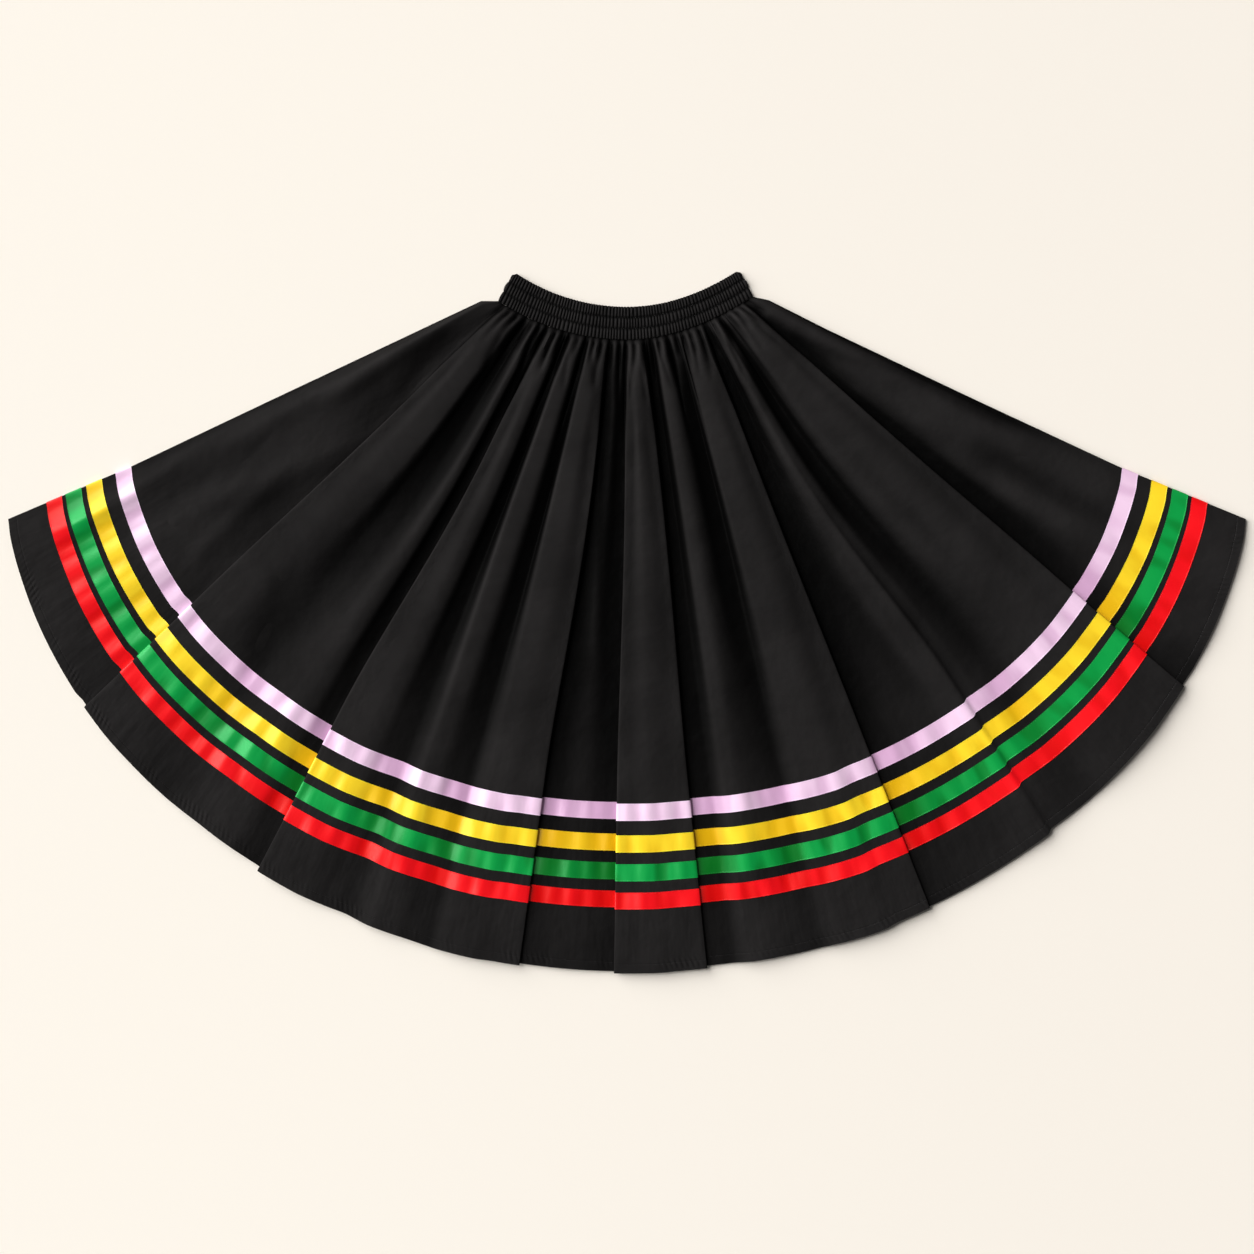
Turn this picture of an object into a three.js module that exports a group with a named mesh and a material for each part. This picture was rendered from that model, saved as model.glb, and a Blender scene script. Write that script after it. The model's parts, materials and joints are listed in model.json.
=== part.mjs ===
// A full circle skirt laid flat on a table and seen from above: millimetres, Z up from the table,
// +Y towards the waist. Two half-circle panels lie on each other and meet at the side seams, a shirred
// elastic waistband holds their gathered tops, and four ribbons are sewn on above the hem.
import * as THREE from "three";

const WALL = 1.0; // cloth
const RIBBON_WALL = 1.0;
const GAP = 0.3; // between two pieces that are sewn together

const SIDE = 66; // degrees from the middle of the fan to its side edges
const FAN_Y = 473; // where the two side edges would meet
const HEM_RADIUS = 911; // from there to the hem, in the middle
const HEM_RISE = 63.5; // how much nearer the hem is at the sides

const WAIST_Y = 644; // centre of the waist's two curves
const SEAM_RADIUS = 290.6; // lower edge of the band
const TOP_RADIUS = 250; // upper edge of the band
const SEAM_SIDE = 33.4; // degrees about the waist's centre, where the side edges start
const RIGHT_LIFT = 6.5; // the right end of the waist seam is drawn up this much more
const RIGHT_TOP_LIFT = 3.0; // and of the band's upper edge

const SIDE_SEAM_Z = 3.0; // the panels meet edge to edge at this height
const CURL = 1.0; // radius of the turn into the side seam
const FRONT_Z = SIDE_SEAM_Z + GAP / 2 + CURL + 0.15; // middle of the front's lowest layer
const BACK_Z = WALL / 2; // middle of the back's lowest layer

const HIDDEN_TURN = 2.3; // radius of a lap's hidden turn, wide enough for the ribbons inside it
const SHOWN_TURN = 0.8; // radius of a lap's edge
const LAP_START = 0.28; // share of the length, from the waist, where the laps begin to open
const LAP_OPENING = 0.12; // share of the length over which a slope becomes a lap
const LAP_WIDENING = 0.34; // from here to the hem the hidden layers grow wider
const LAP_RISE = 2 * (HIDDEN_TURN + SHOWN_TURN);

const GATHERS = 34; // along one panel's top
const RIBS = 66; // across one side of the band
const RIB_RISE = 0.8;
const BAND_WALL = 2.0; // without the ribs
const BAND_GAP = 0.4; // between the two sides of the flattened band
const BAND_TOP_SIDE = 34.2; // degrees about the waist's centre, where the band's upper edge ends
const CLOTH_COLOUR = 0x141314;

// Ribbons from the waist down: distance of the edge nearer the hem from the hem itself, in the middle
// of the fan and at the side seam.
const RIBBONS = [
  { name: "ribbon_lilac", middle: 190.6, side: 146, width: 21, colour: 0xc9aedb },
  { name: "ribbon_yellow", middle: 151, side: 106, width: 21, colour: 0xf5c518 },
  { name: "ribbon_green", middle: 115, side: 78, width: 21, colour: 0x14914a },
  { name: "ribbon_red", middle: 80, side: 52, width: 20.5, colour: 0xe0191e },
];

// The side edges bulge near the waist and are a little hollow lower down: mm outwards.
const SIDE_EDGES = [
  { t: 0, left: 0, right: 0 }, { t: 0.03, left: 9, right: 4.5 }, { t: 0.15, left: 7, right: 1 },
  { t: 0.45, left: 2.6, right: -3 }, { t: 0.75, left: -2.4, right: -5.5 }, { t: 1, left: 0, right: 0 },
];

// Which point of the waist seam each fold line starts from, in degrees about the waist's centre.
const FOLD_LINES = [
  { hem: -66, seam: -33.4 }, { hem: -49.5, seam: -32.0 }, { hem: -30.5, seam: -21.7 },
  { hem: -21.5, seam: -13.4 }, { hem: -15, seam: -9.1 }, { hem: -8.5, seam: -5.3 },
  { hem: -1, seam: -0.6 }, { hem: 6.3, seam: 3.8 }, { hem: 16, seam: 12.2 },
  { hem: 24.5, seam: 19.2 }, { hem: 36.5, seam: 23.5 }, { hem: 51.5, seam: 30.7 },
  { hem: 66, seam: 33.4 },
];

// The front from left to right. at: degrees at the hem; high: above the lowest layer; drop: how far
// the hem hangs past its even curve. A lap adds under: the cloth hidden at the hem; over: the side
// that lies on top, 1 for the right; lower: the drop of the layer below.
const FRONT_FOLDS = [
  { at: -64.4, high: 1.8, drop: 0 }, { at: -62.9, high: 2.8, drop: 0 },
  { at: -60.3, high: 1.0, drop: 0 }, { at: -57.2, high: 3.2, drop: 0 },
  { at: -53.6, high: 1.4, drop: 0 }, { at: -51.0, high: 0.2, drop: 0 },
  { at: -49.5, under: 30, over: 1, drop: 0, lower: 0 },
  { at: -45.8, high: 6.6, drop: 0 }, { at: -43.6, high: 4.2, drop: -1 },
  { at: -40.2, high: 1.4, drop: -2 }, { at: -37.7, high: 4.2, drop: -4 },
  { at: -36.2, high: 6.8, drop: -5 }, { at: -34.4, high: 8.8, drop: -5 },
  { at: -33.0, high: 7.2, drop: -5 }, { at: -31.9, high: 1.4, drop: -5 },
  { at: -30.5, under: 36, over: 1, drop: 1, lower: -5 },
  { at: -27.2, high: 6.8, drop: 1 }, { at: -25.7, high: 5.2, drop: 0 },
  { at: -24.5, high: 2.2, drop: -1 }, { at: -22.8, high: 1.2, drop: -2.5 },
  { at: -21.6, high: 4.0, drop: -1 }, { at: -20.6, high: 7.0, drop: 0 },
  { at: -19.2, high: 5.8, drop: 0 }, { at: -17.6, high: 2.2, drop: 0 },
  { at: -15.9, high: 1.2, drop: 1 }, { at: -14.9, high: 5.0, drop: 1.5 },
  { at: -13.9, high: 7.0, drop: 1.5 }, { at: -12.2, high: 7.8, drop: 1.5 },
  { at: -8.5, under: 26, over: -1, drop: 0, lower: -2.5 },
  { at: -7.0, high: 0.2, drop: -2.5 }, { at: -4.6, high: 1.4, drop: -2.5 },
  { at: -2.4, high: 0.2, drop: -2.5 },
  { at: -1.0, under: 24, over: 1, drop: 0, lower: -2.5 },
  { at: 2.4, high: 8.0, drop: 0 },
  { at: 6.3, under: 22, over: -1, drop: -1, lower: -4 },
  { at: 7.6, high: 0.4, drop: -3.5 }, { at: 8.4, high: 4.2, drop: -2.5 },
  { at: 9.2, high: 7.4, drop: -1.5 }, { at: 10.3, high: 8.0, drop: -1 },
  { at: 11.6, high: 4.6, drop: -0.5 }, { at: 13.6, high: 3.0, drop: 0 },
  { at: 15.4, high: 1.8, drop: 0.5 }, { at: 16.3, high: 5.0, drop: 1.5 },
  { at: 17.3, high: 7.2, drop: 2.5 }, { at: 20.4, high: 8.6, drop: 4 },
  { at: 24.5, under: 34, over: -1, drop: 1.5, lower: 0 },
  { at: 26.0, high: 0.2, drop: 0 }, { at: 29.5, high: 1.2, drop: 0 },
  { at: 32.6, high: 1.4, drop: 0 }, { at: 34.0, high: 5.2, drop: -0.5 },
  { at: 35.2, high: 8.6, drop: -1 }, { at: 36.2, high: 6.6, drop: -1 },
  { at: 37.2, high: 1.6, drop: -1 }, { at: 39.0, high: 0.8, drop: 0 },
  { at: 42.0, high: 4.6, drop: 0.5 }, { at: 44.2, high: 7.0, drop: 1 },
  { at: 47.3, high: 8.4, drop: 1.5 },
  { at: 51.5, under: 30, over: -1, drop: 1, lower: 0 },
  { at: 53.2, high: 0.2, drop: 0 }, { at: 56.5, high: 2.8, drop: 0 },
  { at: 60.3, high: 1.2, drop: 0 }, { at: 62.9, high: 2.6, drop: 0 },
  { at: 64.4, high: 1.6, drop: 0 },
];

// The back from left to right, seen from above. Its laps fold inwards, so that the cloth that rests
// on the table stays flat; each lies under a raised part of the front.
const BACK_FOLDS = [
  { at: -64.4, high: 0, drop: -1 }, { at: -59, high: 0, drop: -2 }, { at: -53.5, high: 0, drop: -2 },
  { at: -48, high: 0, drop: -2 }, { at: -42.8, high: 0, drop: -3.5 }, { at: -38.2, high: 0, drop: -6 },
  { at: -33.2, under: 28, over: -1, drop: -7, lower: -6.5 },
  { at: -28.4, high: 0, drop: -4 }, { at: -22.8, high: 0, drop: -4.5 }, { at: -17.2, high: 0, drop: -2 },
  { at: -11.2, under: 30, over: -1, drop: -1.5, lower: -2.5 },
  { at: -6, high: 0, drop: -4.5 }, { at: -1.5, high: 0, drop: -4.5 },
  { at: 3.8, under: 32, over: -1, drop: -2, lower: -3 },
  { at: 9, high: 0, drop: -4.5 }, { at: 13.4, high: 0, drop: -2 },
  { at: 18.0, under: 44, over: 1, drop: 0, lower: -1 },
  { at: 25, high: 0, drop: -2 }, { at: 30, high: 0, drop: -2 }, { at: 35, high: 0, drop: -3 },
  { at: 39.8, high: 0, drop: -2 },
  { at: 44.8, under: 42, over: 1, drop: -1, lower: -2 },
  { at: 51.2, high: 0, drop: -2 }, { at: 55.8, high: 0, drop: -2 }, { at: 60, high: 0, drop: -2 },
  { at: 64.4, high: 0, drop: -1 },
];

// Heights down the length, t from 0 at the waist to 1 at the hem. base: added to the lowest layer;
// folds: share of the folds' height; gathers: height of the gathers.
const FRONT_LEVELS = [
  { t: 0, base: 0.1, folds: 0.08, gathers: 1.2 }, { t: 0.035, base: 3.2, folds: 0.35, gathers: 3.2 },
  { t: 0.15, base: 1.9, folds: 0.8, gathers: 1.9 },
  { t: 0.28, base: 0, folds: 1, gathers: 0 }, { t: 1, base: 0, folds: 1, gathers: 0 },
];
const BACK_LEVELS = [
  { t: 0, base: 0, folds: 0, gathers: 0.9 }, { t: 0.05, base: 0, folds: 0, gathers: 2.0 },
  { t: 0.16, base: 0, folds: 0.25, gathers: 0.8 }, { t: 0.28, base: 0, folds: 0.7, gathers: 0 },
  { t: 0.42, base: 0, folds: 1, gathers: 0 }, { t: 1, base: 0, folds: 1, gathers: 0 },
];

const rad = (degrees) => (degrees * Math.PI) / 180;
const clamp = (x) => Math.min(1, Math.max(0, x));
const ease = (x) => clamp(x) ** 2 * (3 - 2 * clamp(x));
const mix = (a, b, x) => a + (b - a) * x;

// Reads one column of a table at x, straight between its rows.
function read(table, key, x, column) {
  let i = 1;
  while (i < table.length - 1 && x > table[i][key]) i += 1;
  const [a, b] = [table[i - 1], table[i]];
  return mix(a[column], b[column], (x - a[key]) / (b[key] - a[key]));
}

const seamOf = (deg) => read(FOLD_LINES, "hem", deg, "seam");
const degOf = (seam) => read(FOLD_LINES, "seam", seam, "hem");

// A point of the waist's curves: share runs from the band's upper edge to its seam.
function waistPoint(seam, share) {
  const lift = mix(RIGHT_TOP_LIFT, RIGHT_LIFT, share) * ease(seam / 30);
  const r = mix(TOP_RADIUS, SEAM_RADIUS, share) - lift;
  return new THREE.Vector2(r * Math.sin(rad(seam)), WAIST_Y - r * Math.cos(rad(seam)));
}

function hemPoint(deg, drop) {
  const r = HEM_RADIUS - HEM_RISE * Math.abs(deg / SIDE) ** 3.9 + drop;
  return new THREE.Vector2(r * Math.sin(rad(deg)), FAN_Y - r * Math.cos(rad(deg)));
}

// A point of the flat fan: deg picks the fold line, t how far down it.
function plan(deg, t, drop = 0) {
  const p = waistPoint(seamOf(deg), 1 + GAP / (SEAM_RADIUS - TOP_RADIUS)).lerp(hemPoint(deg, drop), t);
  const bow = read(SIDE_EDGES, "t", t, deg < 0 ? "left" : "right") * (deg / SIDE) ** 4;
  p.x += bow * Math.cos(rad(SIDE)) * Math.sign(deg);
  p.y += bow * Math.sin(rad(SIDE));
  return p;
}

const lineLength = (deg) => plan(deg, 0).distanceTo(plan(deg, 1));

// A row runs across the fan at one t, or at a distance from the hem that shrinks towards the sides.
function rowT(row, deg) {
  if (row.t !== undefined) return row.t;
  const away = mix(row.middle, row.side, Math.min(1, Math.abs(deg / SIDE)) ** 1.6);
  return 1 - away / lineLength(deg);
}

const perDegree = (deg, row) => {
  const d = Math.max(-SIDE + 0.3, Math.min(SIDE - 0.3, deg));
  return plan(d - 0.3, rowT(row, d - 0.3)).distanceTo(plan(d + 0.3, rowT(row, d + 0.3))) / 0.6;
};

// How wide a lap's hidden layers are on their way down, and how far the lap has opened.
const spread = (under, t) => Math.max(4, (under * (t - LAP_WIDENING)) / (1 - LAP_WIDENING));
const opened = (t) => clamp((t - LAP_START) / LAP_OPENING);

// One lap as steps from its lower to its upper layer. x: mm from the shown edge towards the cloth on
// top; z: above the lower layer; flat: where the step lies, in degrees, before the lap has opened.
function lapSteps(under) {
  return [
    { x: -4, z: 0, flat: -0.9 },
    { x: under - HIDDEN_TURN, z: 0, flat: -0.6 },
    { x: under, z: HIDDEN_TURN, flat: -0.25 },
    { x: under - HIDDEN_TURN, z: 2 * HIDDEN_TURN, flat: 0.05 },
    { x: SHOWN_TURN, z: 2 * HIDDEN_TURN + 0.05, flat: 0.3 },
    { x: 0, z: 2 * HIDDEN_TURN + SHOWN_TURN, flat: 0.5 },
    { x: SHOWN_TURN, z: LAP_RISE, flat: 0.7 },
    { x: under + 6, z: LAP_RISE + 0.3, flat: 1 },
  ];
}

// The same lap folded inwards: the cloth on the table ends in the shown edge, turns back over itself,
// turns again and comes down past the edge.
function inwardSteps(under) {
  const low = 2 * SHOWN_TURN;
  return [
    { x: SHOWN_TURN, z: 0, flat: 1 },
    { x: 0, z: SHOWN_TURN, flat: 0.7 },
    { x: SHOWN_TURN, z: low, flat: 0.5 },
    { x: under - HIDDEN_TURN, z: low + 0.05, flat: 0.3 },
    { x: under, z: low + HIDDEN_TURN, flat: 0.1 },
    { x: under - HIDDEN_TURN, z: LAP_RISE, flat: -0.15 },
    { x: -3, z: LAP_RISE, flat: -0.5 },
    { x: -12, z: 0, flat: -1 },
  ];
}

// Height of an unopened lap at one of its steps: a plain slope in the front, a low ridge in the back.
const slope = (flat) => (LAP_RISE + 0.3) * ease((flat + 0.9) / 1.9);
const ridge = (flat) => 0.6 * LAP_RISE * ease(1 - Math.abs(flat));

const FRONT = {
  folds: FRONT_FOLDS, levels: FRONT_LEVELS, steps: lapSteps, unopened: slope, z: FRONT_Z, out: 1,
  gatherColumns: 3, gatherShape: (wave) => -wave,
};
const BACK = {
  folds: BACK_FOLDS, levels: BACK_LEVELS, steps: inwardSteps, unopened: ridge, z: BACK_Z, out: -1,
  gatherColumns: 2, gatherShape: (wave) => 0.5 - 0.5 * wave,
};

// The back is lifted by one ribbon where the ribbons lie under it.
function lift(panel, t, deg) {
  if (panel === FRONT) return 0;
  const first = rowT({ middle: RIBBONS[0].middle + 23, side: RIBBONS[0].side + 23 }, deg);
  const last = rowT(RIBBONS[3], deg);
  return (RIBBON_WALL + GAP) * Math.min(clamp((t - 0.4) / (first - 0.4)), clamp((1 - t) / (1 - last)));
}

// The panel turns into the side seam: x in mm from the side edge, turn from the seam's height (0) to
// the panel's own (1).
const CURL_STEPS = [{ x: -CURL, turn: 1 }, { x: 0, turn: 0.35 }, { x: 0, turn: 0 }];

function sideCurl(panel, row, hand) {
  const edge = hand * SIDE;
  const t = rowT(row, edge);
  const end = SIDE_SEAM_Z + (panel.out * GAP) / 2;
  const height = panel.z + lift(panel, t, edge) - end;
  const points = CURL_STEPS.map(({ x, turn }) => {
    const deg = edge + (hand * x) / perDegree(edge, row);
    const p = plan(deg, t);
    return { x: p.x, y: p.y, z: end + height * turn, deg };
  });
  return hand < 0 ? points.reverse() : points;
}

// The section's steps between its two side edges, each with its fold line, height and drop.
function foldSteps(panel, row) {
  return panel.folds.flatMap((fold) => {
    if (fold.under === undefined) return { deg: fold.at, high: fold.high, drop: fold.drop };
    const t = rowT(row, fold.at);
    const local = perDegree(fold.at, row);
    const lap = panel.steps(spread(fold.under, t)).map(({ x, z, flat }) => ({
      deg: fold.at + fold.over * mix(flat, x / local, opened(t)),
      high: mix(panel.unopened(flat), z, opened(t)),
      drop: mix(fold.lower ?? fold.drop, fold.drop, ease(z / LAP_RISE)),
    }));
    return fold.over === panel.out ? lap : lap.reverse();
  });
}

// Where one gather begins, in degrees about the waist's centre; they are not quite even.
function gatherSeam(n) {
  const even = mix(-SEAM_SIDE, SEAM_SIDE, n / GATHERS);
  return even + 0.32 * Math.sin(1.7 * n) * Math.sin((Math.PI * n) / GATHERS);
}

// The gathered top of a panel: narrow valleys between wide bulges, over the folds' own height.
function gatheredPoints(panel, row, level) {
  const steps = [{ deg: -SIDE, high: 0 }, ...foldSteps(panel, row), { deg: SIDE, high: 0 }];
  const count = GATHERS * panel.gatherColumns;
  return Array.from({ length: count - 1 }, (_, i) => {
    const n = (i + 1) / panel.gatherColumns;
    const deg = degOf(gatherSeam(n));
    const wave = panel.gatherShape(Math.cos(2 * Math.PI * n));
    const fade = ease(Math.min(n, GATHERS - n));
    const ripple = level.base + level.gathers * wave;
    const p = plan(deg, row.t);
    const high = read(steps, "deg", deg, "high") * level.folds;
    return { x: p.x, y: p.y, z: panel.z + ripple * fade + high, deg };
  });
}

function foldedPoints(panel, row) {
  return foldSteps(panel, row).map(({ deg, high, drop }) => {
    const t = rowT(row, deg);
    const p = plan(deg, t, drop);
    const share = read(panel.levels, "t", t, "folds");
    return { x: p.x, y: p.y, z: panel.z + high * share + lift(panel, t, deg), deg };
  });
}

// One row of the panel's middle surface, from the left side seam to the right one.
function section(panel, row) {
  const level = panel.levels.find((entry) => entry.t === row.t);
  const inside = row.gathered ? gatheredPoints(panel, row, level) : foldedPoints(panel, row);
  return [...sideCurl(panel, row, -1), ...inside, ...sideCurl(panel, row, 1)];
}

// Moves a section off its middle surface, along the normals of its cross-section.
function offset(points, row, distance) {
  const normals = points.slice(1).map((p, i) => {
    const a = points[i];
    const deg = Math.max(1 - SIDE, Math.min(SIDE - 1, (a.deg + p.deg) / 2));
    const along = plan(deg + 0.3, rowT(row, deg + 0.3)).sub(plan(deg - 0.3, rowT(row, deg - 0.3)));
    const down = new THREE.Vector3(along.y, -along.x, 0);
    return down.cross(new THREE.Vector3(p.x - a.x, p.y - a.y, p.z - a.z)).normalize();
  });
  return points.map((p, i) => {
    const before = normals[Math.max(0, i - 1)];
    const after = normals[Math.min(normals.length - 1, i)];
    const normal = before.clone().add(after).normalize();
    const reach = distance / Math.max(0.5, normal.dot(after));
    return { ...p, x: p.x + normal.x * reach, y: p.y + normal.y * reach, z: p.z + normal.z * reach };
  });
}

// Collects the triangles of one closed body, strip by strip.
class Body {
  constructor() {
    this.corners = [];
    this.faces = [];
  }

  add(points) {
    return points.map((p) => {
      this.corners.push(p.x, p.y, p.z);
      return { ...p, id: this.corners.length / 3 - 1 };
    });
  }

  // Fills between two lines of points; key says how far along its line each point is, and without
  // one the points are taken in pairs. A turned strip faces the other way.
  strip(a, b, { key, turned = false } = {}) {
    const place = (line, i) => (key ? line[i][key] : i);
    let [i, j] = [0, 0];
    while (i < a.length - 1 || j < b.length - 1) {
      const first = j === b.length - 1 || (i < a.length - 1 && place(a, i + 1) <= place(b, j + 1));
      const [start, across, next] = [a[i].id, b[j].id, first ? a[i + 1].id : b[j + 1].id];
      this.faces.push(start, ...(turned ? [next, across] : [across, next]));
      if (first) i += 1;
      else j += 1;
    }
  }

  mesh(name, color, roughness) {
    const geometry = new THREE.BufferGeometry();
    geometry.setAttribute("position", new THREE.Float32BufferAttribute(this.corners, 3));
    geometry.setIndex(this.faces);
    geometry.computeVertexNormals();
    const material = new THREE.MeshStandardMaterial({ color, roughness, metalness: 0 });
    const mesh = new THREE.Mesh(geometry, material);
    mesh.name = name;
    return mesh;
  }
}

// A closed sheet between an upper and a lower face that share their edges. Each face has its own rows
// and lies at its own distance above the panel's middle surface.
function sheet(panel, upper, lower) {
  const body = new Body();
  const face = ({ rows, distance }, turned) => {
    const lines = rows.map((row) =>
      body.add(offset(section(panel, row), row, distance).map((p) => ({ ...p, t: rowT(row, SIDE) }))));
    lines.slice(1).forEach((line, i) => {
      const key = line.length === lines[i].length ? undefined : "deg";
      body.strip(lines[i], line, { key, turned });
    });
    return lines;
  };
  const [top, bottom] = [face(upper, false), face(lower, true)];
  const ends = (lines, place) => lines.map((line) => line.at(place));
  body.strip(bottom[0], top[0]);
  body.strip(top.at(-1), bottom.at(-1));
  body.strip(ends(top, 0), ends(bottom, 0), { key: "t" });
  body.strip(ends(bottom, -1), ends(top, -1), { key: "t" });
  return body;
}

// Rows of the two faces: the outer one has a row along each edge of each ribbon.
const ribbonEdges = RIBBONS.map(({ middle, side, width }) => [
  { middle: middle + width, side: side + width }, { middle, side },
]);

function panelRows(panel, edges) {
  const gathered = panel.levels.filter(({ gathers }) => gathers > 0);
  const opening = [LAP_START, LAP_WIDENING, LAP_START + LAP_OPENING].map((t) => ({ t }));
  return [...gathered.map(({ t }) => ({ t, gathered: true })), ...opening, ...edges, { t: 1 }];
}

function panelMesh(panel, name, roughness) {
  const outer = { rows: panelRows(panel, ribbonEdges.flat()), distance: (panel.out * WALL) / 2 };
  const few = [ribbonEdges[0][0], ribbonEdges[2][0], ...(panel === BACK ? [ribbonEdges[3][1]] : [])];
  const inner = { rows: panelRows(panel, few), distance: (-panel.out * WALL) / 2 };
  const [upper, lower] = panel.out > 0 ? [outer, inner] : [inner, outer];
  return sheet(panel, upper, lower).mesh(name, CLOTH_COLOUR, roughness);
}

function ribbonMesh(panel, edges, name, colour) {
  const near = panel.out * (WALL / 2 + GAP);
  const far = near + panel.out * RIBBON_WALL;
  const [upper, lower] = [Math.max(near, far), Math.min(near, far)];
  return sheet(panel, { rows: edges, distance: upper }, { rows: edges, distance: lower })
    .mesh(name, colour, 0.35);
}

// One upright line of the band at an angle about the waist's centre: across is the share of its width
// from the upper edge, out the distance past the end of the flattened loop.
function bandLine(seam, heights, turn, out = 0) {
  return heights.map((z, i) => {
    const across = i / (heights.length - 1);
    const end = mix(BAND_TOP_SIDE, SEAM_SIDE, across) / SEAM_SIDE;
    const p = waistPoint(seam * end, across);
    p.x += out * Math.cos(rad(seam)) * Math.sign(seam);
    p.y += out * Math.sin(rad(Math.abs(seam)));
    return { x: p.x, y: p.y, z, across, turn };
  });
}

// How far the ribs stand out down the band: held down by the seam and the two rows of stitches.
const RIB_SHAPE = [0.5, 1, 0.3, 1, 0.3, 1, 0.4];

function waistbandMesh() {
  const body = new Body();
  const top = 2 * (BAND_WALL + RIB_RISE) + BAND_GAP;
  const outer = [];
  const seamAt = (share) => mix(-SEAM_SIDE, SEAM_SIDE, share);
  for (let n = 0; n <= 2 * RIBS; n += 1) {
    const turn = n / 2 / RIBS;
    const heights = RIB_SHAPE.map((share) => top - RIB_RISE * (1 - share * (n % 2)));
    outer.push(bandLine(seamAt(turn), heights, turn));
  }
  const bends = [{ out: 2.0, z: 1.9 }, { out: 2.8, z: 0 }, { out: 2.0, z: -1.9 }];
  bends.forEach(({ out, z }, i) =>
    outer.push(bandLine(SEAM_SIDE, [top / 2 + z, top / 2 + z], 1 + (i + 1) / 16, out)));
  for (let n = 0; n <= 2 * RIBS; n += 1) {
    const z = RIB_RISE * (1 - (n % 2));
    outer.push(bandLine(seamAt(1 - n / 2 / RIBS), [z, z], 1.25 + n / 2 / RIBS));
  }
  bends.forEach(({ out, z }, i) =>
    outer.push(bandLine(-SEAM_SIDE, [top / 2 - z, top / 2 - z], 2.25 + (i + 1) / 16, out)));

  const inner = [];
  const plain = 44;
  for (const [begin, hand] of [[0, 1], [1.25, -1]]) {
    const z = (top + hand * BAND_GAP) / 2;
    for (let n = 0; n <= plain; n += 1) {
      const turn = begin + Math.max(0, n - 0.5) / plain;
      inner.push(bandLine(hand * seamAt(n / plain), [z, z], turn));
    }
    inner.push(bandLine(hand * SEAM_SIDE, [top / 2, top / 2], begin + 1.125, 0.5));
  }

  const loop = (lines) => {
    const added = lines.map((line) => body.add(line));
    return [...added, added[0].map((p) => ({ ...p, turn: 2.5 }))];
  };
  const [outside, inside] = [loop(outer), loop(inner)];
  outside.slice(1).forEach((line, i) => body.strip(outside[i], line, { key: "across", turned: true }));
  inside.slice(1).forEach((line, i) => body.strip(inside[i], line, { key: "across" }));
  const edge = (lines, place) => lines.map((line) => line.at(place));
  body.strip(edge(inside, 0), edge(outside, 0), { key: "turn" });
  body.strip(edge(outside, -1), edge(inside, -1), { key: "turn" });
  return body.mesh("waistband", CLOTH_COLOUR, 0.85);
}

const skirt = new THREE.Group();
skirt.name = "circle_skirt";
skirt.add(panelMesh(FRONT, "skirt_front", 0.85), panelMesh(BACK, "skirt_back", 0.85), waistbandMesh());
RIBBONS.forEach(({ name, colour }, i) => {
  skirt.add(ribbonMesh(FRONT, ribbonEdges[i], `${name}_front`, colour));
  skirt.add(ribbonMesh(BACK, ribbonEdges[i], `${name}_back`, colour));
});

export default skirt;
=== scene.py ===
# %% [markdown]
# # A full circle skirt, laid out flat
#
# Two half rings of black poplin, gathered into a shirred elastic waistband, with four satin
# ribbons sewn on above the hem. The skirt lies on a table and is seen from straight above. The
# frame holds plain solids of the same pieces; this script dresses them in cloth, satin and
# thread.
import json
import math

import bpy
import numpy as np
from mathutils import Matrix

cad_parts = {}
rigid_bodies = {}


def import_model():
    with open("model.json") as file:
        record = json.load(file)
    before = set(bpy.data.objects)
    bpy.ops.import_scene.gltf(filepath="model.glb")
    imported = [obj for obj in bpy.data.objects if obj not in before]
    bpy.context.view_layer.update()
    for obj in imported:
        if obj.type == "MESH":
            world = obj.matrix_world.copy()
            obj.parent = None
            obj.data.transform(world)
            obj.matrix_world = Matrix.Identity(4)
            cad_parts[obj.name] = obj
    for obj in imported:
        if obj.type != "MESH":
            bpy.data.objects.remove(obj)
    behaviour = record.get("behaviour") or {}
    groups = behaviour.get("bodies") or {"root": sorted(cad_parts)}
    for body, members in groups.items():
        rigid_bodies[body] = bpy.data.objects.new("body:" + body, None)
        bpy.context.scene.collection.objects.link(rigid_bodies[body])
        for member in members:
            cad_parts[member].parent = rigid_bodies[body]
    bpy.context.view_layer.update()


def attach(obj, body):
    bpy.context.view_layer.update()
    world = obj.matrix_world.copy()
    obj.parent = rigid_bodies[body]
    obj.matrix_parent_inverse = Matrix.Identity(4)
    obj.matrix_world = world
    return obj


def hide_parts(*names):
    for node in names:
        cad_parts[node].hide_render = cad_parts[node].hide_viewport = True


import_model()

# %% [markdown]
# ## Camera, light and table
#
# A flat lay is photographed from straight above, with the waist at the top of the picture. A long
# lens keeps the picture's edges free of perspective. The light is a wide soft source low in the
# upper left, a weaker one high above it, and a faint even light from all round. The low angle
# matters: on black cloth the folds show only by the light that their sides catch.

# %% Camera
PICTURE_WIDTH = 1.5675  # metres of table across the picture
PICTURE_MIDDLE = -0.0056  # the picture's middle lies this far from the skirt's, along Y
CAMERA_HEIGHT = 5.0

scene = bpy.context.scene


def add_object(name, data):
    thing = bpy.data.objects.new(name, data)
    scene.collection.objects.link(thing)
    return thing


camera = add_object("camera", bpy.data.cameras.new("camera"))
camera.location = (0, PICTURE_MIDDLE, CAMERA_HEIGHT)
camera.data.lens = camera.data.sensor_width * CAMERA_HEIGHT / PICTURE_WIDTH
camera.data.clip_end = 4 * CAMERA_HEIGHT
scene.camera = camera
print("lens, millimetres:", round(camera.data.lens, 1))

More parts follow.
